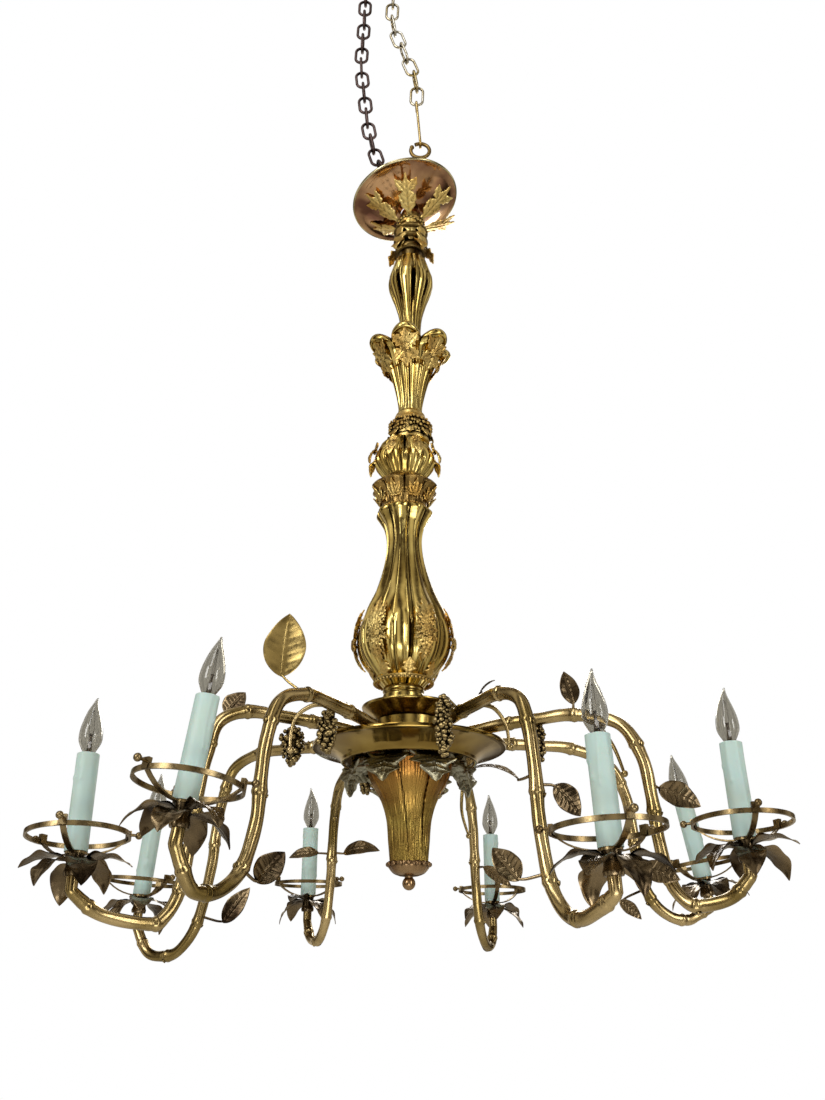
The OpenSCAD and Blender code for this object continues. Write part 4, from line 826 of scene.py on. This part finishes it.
def candle(seed):
    """Shell of one sleeve: seven runs of wax down from the rim, each a ridge that ends in a drop.

    Across a run the wax stands out as exp(-(angle / width)^2), and the run sways as a sine of the height.
    """
    chance = np.random.default_rng(seed)
    height = np.linspace(sleeve_low, sleeve_high - 1.2, 60)
    height = np.concatenate([height, [sleeve_high - 0.5, sleeve_high - 0.1]])
    angle = full_turn(sleeve_sides)
    radius = np.full((len(height), sleeve_sides), sleeve_r)
    radius[-1] -= 0.6
    for _ in range(7):
        at, end = chance.uniform(0, 2 * np.pi), chance.uniform(sleeve_low + 25, sleeve_high - 12)
        width = chance.uniform(0.12, 0.24)
        sway = 0.1 * np.sin(height / chance.uniform(9, 16))[:, None]
        away = (angle - at - sway + np.pi) % (2 * np.pi) - np.pi
        run = 1 / (1 + np.exp(-(height - end) / 0.8))[:, None]
        drop = np.exp(-(((height - end - 2.5) / 2.6) ** 2))[:, None]
        radius = radius + (0.55 * run + 0.7 * drop) * np.exp(-((away / width) ** 2))
    inner = turned([[sleeve_bore_r, sleeve_high - 0.1], [sleeve_bore_r, sleeve_low]], sleeve_sides)
    return shell(np.concatenate([round_axis(radius, angle, height[:, None]), inner]), loop=True)


def moulding(name, tints, cloud_mm, surface, detail=2.0, flow=None):
    """A material that is not metal, in clouds of two tints; surface gives its shader's other inputs.

    The clouds are noise of the given size, and so is the flow, given with its height in the relief.
    """
    material, place = blank(name)
    spacing = {"Scale": 1000 / cloud_mm, "Detail": detail}
    clouds = add(material, "ShaderNodeTexNoise", {"Vector": place, **spacing})["Fac"]
    colours = {0: clouds, 6: linear(tints[0]), 7: linear(tints[1])}
    tint = add(material, "ShaderNodeMix", colours, data_type="RGBA")[2]
    surface = {"Base Color": tint, **surface}
    if flow:
        spacing = {"Scale": 1000 / flow[0], "Detail": 2.0}
        waves = add(material, "ShaderNodeTexNoise", {"Vector": place, **spacing})["Fac"]
        depth = {"Height": waves, "Distance": flow[1] / 1000}
        surface["Normal"] = add(material, "ShaderNodeBump", depth)["Normal"]
    shader = add(material, "ShaderNodeBsdfPrincipled", surface)["BSDF"]
    add(material, "ShaderNodeOutputMaterial", {"Surface": shader})
    return material


# Moulded polystyrene in pale blue-green: soft, waxy, slightly see-through, and yellowed in clouds
waxy = {"Roughness": 0.5, "IOR": 1.59, "Subsurface Weight": 0.12, "Subsurface Scale": 0.004}
blue_green = ("#b4d6da", "#c4d5c7")
candle_plastic = moulding("candle_plastic", blue_green, 30, waxy, detail=3.0, flow=(5, 0.2))
candles = [part for k in range(8) for part in at_station(k, [candle(40 + k)])]
piece("candle_tubes", candles, candle_plastic, "candle_wax", "candle_sleeves")

# Phenolic resin, moulded dark brown, with a slight gloss
phenolic = moulding("phenolic_resin", ("#2c2522", "#443a35"), 2, {"Roughness": 0.4, "IOR": 1.6})
finish_nodes(phenolic, "lamp_sockets")

# ---------------- bulbs
# Flame-shaped filament lamps with a bent tip: a thin clear glass envelope, a glass stem with two
# wires and a hairpin filament, and a screw cap of thin brass that turns in the socket.
glass_low, glass_h, bulb_r, glass_wall = 87.8, 64, 12.7, 0.7
flame = [[5, -6], [5, -0.8], [8.2, 0.07 * glass_h], [bulb_r - 0.7, 0.2 * glass_h], [bulb_r, 0.32 * glass_h]]
flame += [[bulb_r * 0.88, 0.5 * glass_h], [bulb_r * 0.56, 0.72 * glass_h], [bulb_r * 0.26, 0.88 * glass_h]]
flame = smooth(flame + [[1.6, 0.97 * glass_h], [0.9, glass_h]], 6)
within = [[max(r - glass_wall, 0.3), z - 0.4] for r, z in flame[::-1] if z < 0.96 * glass_h]
tips = [[0.05, glass_h + 0.3], [0.05, 0.97 * glass_h]]
points, quads, triangles = lathe(np.concatenate([flame, tips, within]), 48)
# The tip is pulled 2.5 mm to one side, by the square of the height, as the glass was drawn off
up = np.clip((points[:, 2] - 0.7 * glass_h) / (0.3 * glass_h), 0, 1)
points[:, 0] += 2.5 * up**2
envelope = moved((points, quads, triangles), shift=[0, 0, glass_low])
# Soda-lime glass, blown thin: clear, with a faint grey-violet skin from long burning
lamp_glass, place = blank("lamp_glass")
waves = add(lamp_glass, "ShaderNodeTexNoise", {"Vector": place, "Scale": 1000 / 14, "Detail": 1.0})["Fac"]
relief = add(lamp_glass, "ShaderNodeBump", {"Height": waves, "Distance": 0.0003})["Normal"]
surface = {"Base Color": linear("#b9b6ad"), "Roughness": 0.02, "IOR": 1.5}
surface |= {"Transmission Weight": 1.0, "Normal": relief}
shader = add(lamp_glass, "ShaderNodeBsdfPrincipled", surface)["BSDF"]
add(lamp_glass, "ShaderNodeOutputMaterial", {"Surface": shader})
# Nickel wire and a coiled tungsten filament, dull grey
lamp_wire = metal("lamp_wire", "#8d8176", "#6d6259", "#332c27", 0.4, 0.5, 0.01)
glass_stem = smooth([[3.2, -5], [2.8, 4], [1.7, 14], [1.2, 20], [2.2, 22]], 4)
wires = [shell(turned(glass_stem, 16))]
for sign in (-1, 1):
    support = smooth([[sign * 1.2, 0, 18], [sign * 2.4, 0, 26], [sign * 2.2, 0, 33]], 4)
    wires.append(bar(support, [0.3] * len(support), 6))
t = np.linspace(0, 1, 120)
arch = np.stack([2.2 * np.cos(np.pi * t), 0 * t, 33 + 16 * np.sin(np.pi * t)], -1)
coil = 0.5 * np.stack([np.cos(220 * t), np.sin(220 * t), 0 * t], -1)
wires.append(bar(arch + coil, [0.22] * len(t), 5))
wires = laid(wires, shift=[0, 0, glass_low])
# Thin brass cap, rolled with a screw thread of 3.2 mm pitch
cap_brass = metal("cap_brass", "#cdb377", "#a3894f", "#4c3a1c", 0.28, 1.0, 0.02)
cap_z = np.linspace(61.8, 87.4, 90)
thread = 0.35 * np.sin(2 * np.pi * cap_z / 3.2) * (cap_z < 80)
cap_foot, cap_inside = [[0.05, 58.9], [3, 59.1]], [[5.3, 87.5], [5.3, 60.4], [0.05, 60.0]]
cap = lathe(np.concatenate([cap_foot, np.stack([5.7 + thread, cap_z], -1), cap_inside]), 40)
for k in range(8):
    body, number, spin = f"bulb_{k + 1}", k + 1, 57 * k + 20
    glass = at_station(k, [envelope], spin)
    piece(f"lamp_envelope_{number}", glass, lamp_glass, "clear_glass", f"bulb_glass_{number}", body=body)
    screwed = at_station(k, [cap], spin)
    piece(f"lamp_cap_{number}", screwed, cap_brass, "lamp_cap", f"bulb_base_{number}", body=body)
    piece(f"filament_{number}", at_station(k, wires, spin), lamp_wire, "lamp_cap", body=body)

# ---------------- bunches of berries
# Bunches of small grapes hang by a short stem from the arms just outside the pan. Each is a solid
# bronze casting, grained, with a grey-gold skin, and patina and painted shade make it nearly black
# between the berries.

# Each bunch: its arm from 0 to 7, distance out and aside, length, width, and the height of its top
bunches = [[1, 150, -23, 48, 20, 149], [5, 150, -25, 70, 17, 167], [0, 170, 0, 44, 26, 140]]
bunches += [[6, 158, 21, 50, 20, 149], [3, 168, 4, 32, 22, 138], [4, 152, -8, 38, 20, 138]]


def on_arm(k, point):
    """Where a stem from the point meets an arm: just under its skin, and the direction back to the point."""
    path = arm_line(k)
    nearest = path[np.argmin(np.linalg.norm(path - point, axis=1))]
    away = (point - nearest) / np.linalg.norm(point - nearest)
    return nearest + 6.5 * away, away


grapes = []
golden_angle = 2.39996  # radians from one grape to the next, so that they pack evenly
for number, (k, out, aside, length, width, top_z) in enumerate(bunches):
    top = out * outward(k) + [aside, 0, top_z]
    count = int(length * 1.7)
    share = (np.arange(count) + 0.5) / count
    # Its radius down its length follows sin(180 share^0.75)^0.6, so it is widest above its middle
    spread = (width / 2 - 0.5) * np.sin(np.pi * share**0.75) ** 0.6
    places = round_axis(spread, golden_angle * np.arange(count), -length * share)
    chance = np.random.default_rng(60 + number)
    places += chance.normal(0, 1.1, places.shape)
    grapes.append(berries(places + top, chance.uniform(2.0, 4.1, count), around=8, along=6))
    core = np.stack([0.8 * spread, -length * share], -1)
    grapes.append(moved(shell(turned(core[::-1], 12)), shift=top))
    root, away = on_arm(k, top + [0, 0, 6])
    line = smooth([root, root + 1.5 * away, top + [0, 0, 3], top - [0, 0, 5]], 5)
    grapes.append(bar(line, [1.8] * len(line), 10))
# Cast bronze with a grey-gold skin
berry_bronze = metal(
    "berry_bronze", "#a08c60", "#736240", "#17100a", 0.3, 1.6, 0.06, hollow_mm=5.0, open_share=0.45
)
piece("grape_bunches", grapes, berry_bronze, "berry_bronze", "berry_clusters")

# ---------------- leaves on the arms
# Single leaves stand off the arms on wire stalks. They are sheet brass, veined, cupped and bronzed
# brown; the largest, high on the second arm, is rubbed to gold.

# Each leaf: its arm from 0 to 7, foot, tip, the way its upper face looks, width and curl in degrees
front = [0, -1, 0.35]
leaves = [
    [1, [-147, -194, 174], [-142, -192, 252], front, 50, 12],
    [0, [-224, -110, 152], [-202, -108, 180], front, 30, 15],
    [6, [200, -116, 164], [191, -114, 206], front, 24, 15],
    [5, [84, -160, 166], [101, -163, 180], [-1, 0, 1], 9, 40],
    [1, [-149, -272, -60], [-124, -266, -30], front, 30, 30],
    [3, [-138, 280, 39], [-183, 282, 32], [0, -1, 0.6], 20, 60],
    [3, [-100, 278, 38], [-45, 276, 42], [0, -0.9, 0.6], 26, 80],
    [2, [-250, 130, -71], [-217, 130, -26], front, 27, 20],
    [5, [116, -246, 46], [58, -232, 56], [0, -0.4, 1], 17, 80],
    [5, [150, -262, 38], [176, -254, 8], front, 28, 30],
    [5, [109, -268, -57], [84, -262, -25], front, 28, 20],
    [4, [114, 284, 20], [155, 276, -10], front, 20, 20],
    [6, [292, -122, 62], [338, -126, 40], front, 34, 30],
    [6, [248, -185, -35], [288, -192, -48], front, 26, 30],
    [7, [276, 74, -46], [300, 64, -70], front, 18, 20],
    [4, [76, 196, 142], [86, 190, 112], front, 20, 20],
]


def stalked_leaf(k, foot, tip, facing, width, curl):
    """Shells of a leaf from foot to tip, and of the wire stalk that holds it to its arm."""
    foot, tip, facing = (np.array(p, float) for p in (foot, tip, facing))
    reach = np.linalg.norm(tip - foot)
    along = (tip - foot) / reach
    up = facing - (facing @ along) * along
    up /= np.linalg.norm(up)
    axes = np.stack([along, np.cross(up, along), up], -1)
    half_curl = math.radians(curl / 2)
    length = reach * half_curl / math.sin(half_curl)
    blade = leaf(length, width, curl, 0.14, veins=8, steps=(48, 14), thick=1.1, ruffle=0.04)
    blade = moved(blade, axes @ turn("Y", -curl / 2), foot)
    root, away = on_arm(k, foot)
    line = smooth([root, root + 2 * away, mix(root, foot, 0.6) + 2 * away, foot + 2 * along], 6)
    return [blade, bar(line, np.linspace(1.9, 1.4, len(line)), 10)]


# Gilt sheet brass of the large leaf
rubbed_leaf = metal("rubbed_gilt_leaf", "#b9a166", "#857040", "#241808", 0.28, 3.0, 0.05, hollow_mm=5.0)
piece("large_leaf", stalked_leaf(*leaves[0]), rubbed_leaf, "bronze_leaf")
small_leaves = [part for row in leaves[1:] for part in stalked_leaf(*row)]
piece("stalked_leaves", small_leaves, bronzed_sheet, "bronze_leaf", "branch_leaves")

# ---------------- room
# A pale floor far below, pale surroundings and large soft lamps, as in a plain studio. The metal
# reflects the lamps and the dimmer room between them.

# Matt floor paint, with faint clouds
floor_paint = moulding("painted_floor", ("#ecebe8", "#e4e3e0"), 1000 / 0.6, {"Roughness": 0.8})
half, floor_z = 4.0, centre[2] - 1.6
corners = [[-half, -half, floor_z], [half, -half, floor_z], [half, half, floor_z], [-half, half, floor_z]]
floor_mesh = bpy.data.meshes.new("floor")
floor_mesh.from_pydata(corners, [], [[0, 1, 2, 3]])
floor_mesh.materials.append(floor_paint)
floor = bpy.data.objects.new("floor", floor_mesh)
scene.collection.objects.link(floor)

scene.view_settings.view_transform = "Standard"
world = bpy.data.worlds.new("studio")
scene.world = world
world.use_nodes = True
world.node_tree.nodes.clear()
path = add(world, "ShaderNodeLightPath", {})
rays = {0: path["Is Camera Ray"], 1: path["Is Transmission Ray"]}
seen = add(world, "ShaderNodeMath", rays, operation="MAXIMUM")["Value"]
pale = add(world, "ShaderNodeBackground", {"Color": linear("#ffffff"), "Strength": 1.0})["Background"]
# What the metal mirrors is a ring of seven pale flats with dark gaps between them: the sine of the bearing
way = add(world, "ShaderNodeSeparateXYZ", {"Vector": add(world, "ShaderNodeTexCoord", {})["Generated"]})
bearing = add(world, "ShaderNodeMath", {0: way["Y"], 1: way["X"]}, operation="ARCTAN2")["Value"]
bands = add(world, "ShaderNodeMath", {0: bearing, 1: 7.0}, operation="MULTIPLY")["Value"]
bands = add(world, "ShaderNodeMath", {0: bands}, operation="SINE")["Value"]
bands = add(world, "ShaderNodeMapRange", {"Value": bands, "From Min": -0.5, "From Max": 0.9})["Result"]
tints = {0: bands, 6: linear("#40362a"), 7: linear("#e6dfcf")}
flats = add(world, "ShaderNodeMix", tints, data_type="RGBA")[2]
dim = add(world, "ShaderNodeBackground", {"Color": flats, "Strength": 1.0})["Background"]
room = add(world, "ShaderNodeMixShader", {0: seen, 1: dim, 2: pale})["Shader"]
add(world, "ShaderNodeOutputWorld", {"Surface": room})

# Soft rectangular lamps: place and aim in metres from the centre, width, height and watts
lamps = {
    "key": [[-1.8, -2.2, 1.2], [0, 0, 0.3], 0.7, 1.8, 30],
    "fill": [[2.0, -2.0, 0.6], [0, 0, 0.3], 0.5, 1.8, 18],
    "high_front": [[-0.6, -1.4, 2.2], [0, 0, 0.3], 0.4, 1.6, 9],
    "low_front": [[0.2, -2.4, -1.2], [0, 0, 0.2], 1.6, 0.6, 14],
    "back": [[0.5, 2.6, 1.5], [0, 0, 0.3], 1.8, 0.8, 30],
}
for name, (place_m, aim_m, width, height, power) in lamps.items():
    light = bpy.data.lights.new(name, "AREA")
    light.shape, light.size, light.size_y, light.energy = "RECTANGLE", width, height, power
    lamp = bpy.data.objects.new(name, light)
    lamp.location = centre + place_m
    back = np.array(place_m) - aim_m
    back /= np.linalg.norm(back)
    side = np.cross([0, 0, 1], back)
    side /= np.linalg.norm(side)
    lamp.rotation_euler = Matrix(np.stack([side, np.cross(back, side), back], -1).tolist()).to_euler()
    scene.collection.objects.link(lamp)
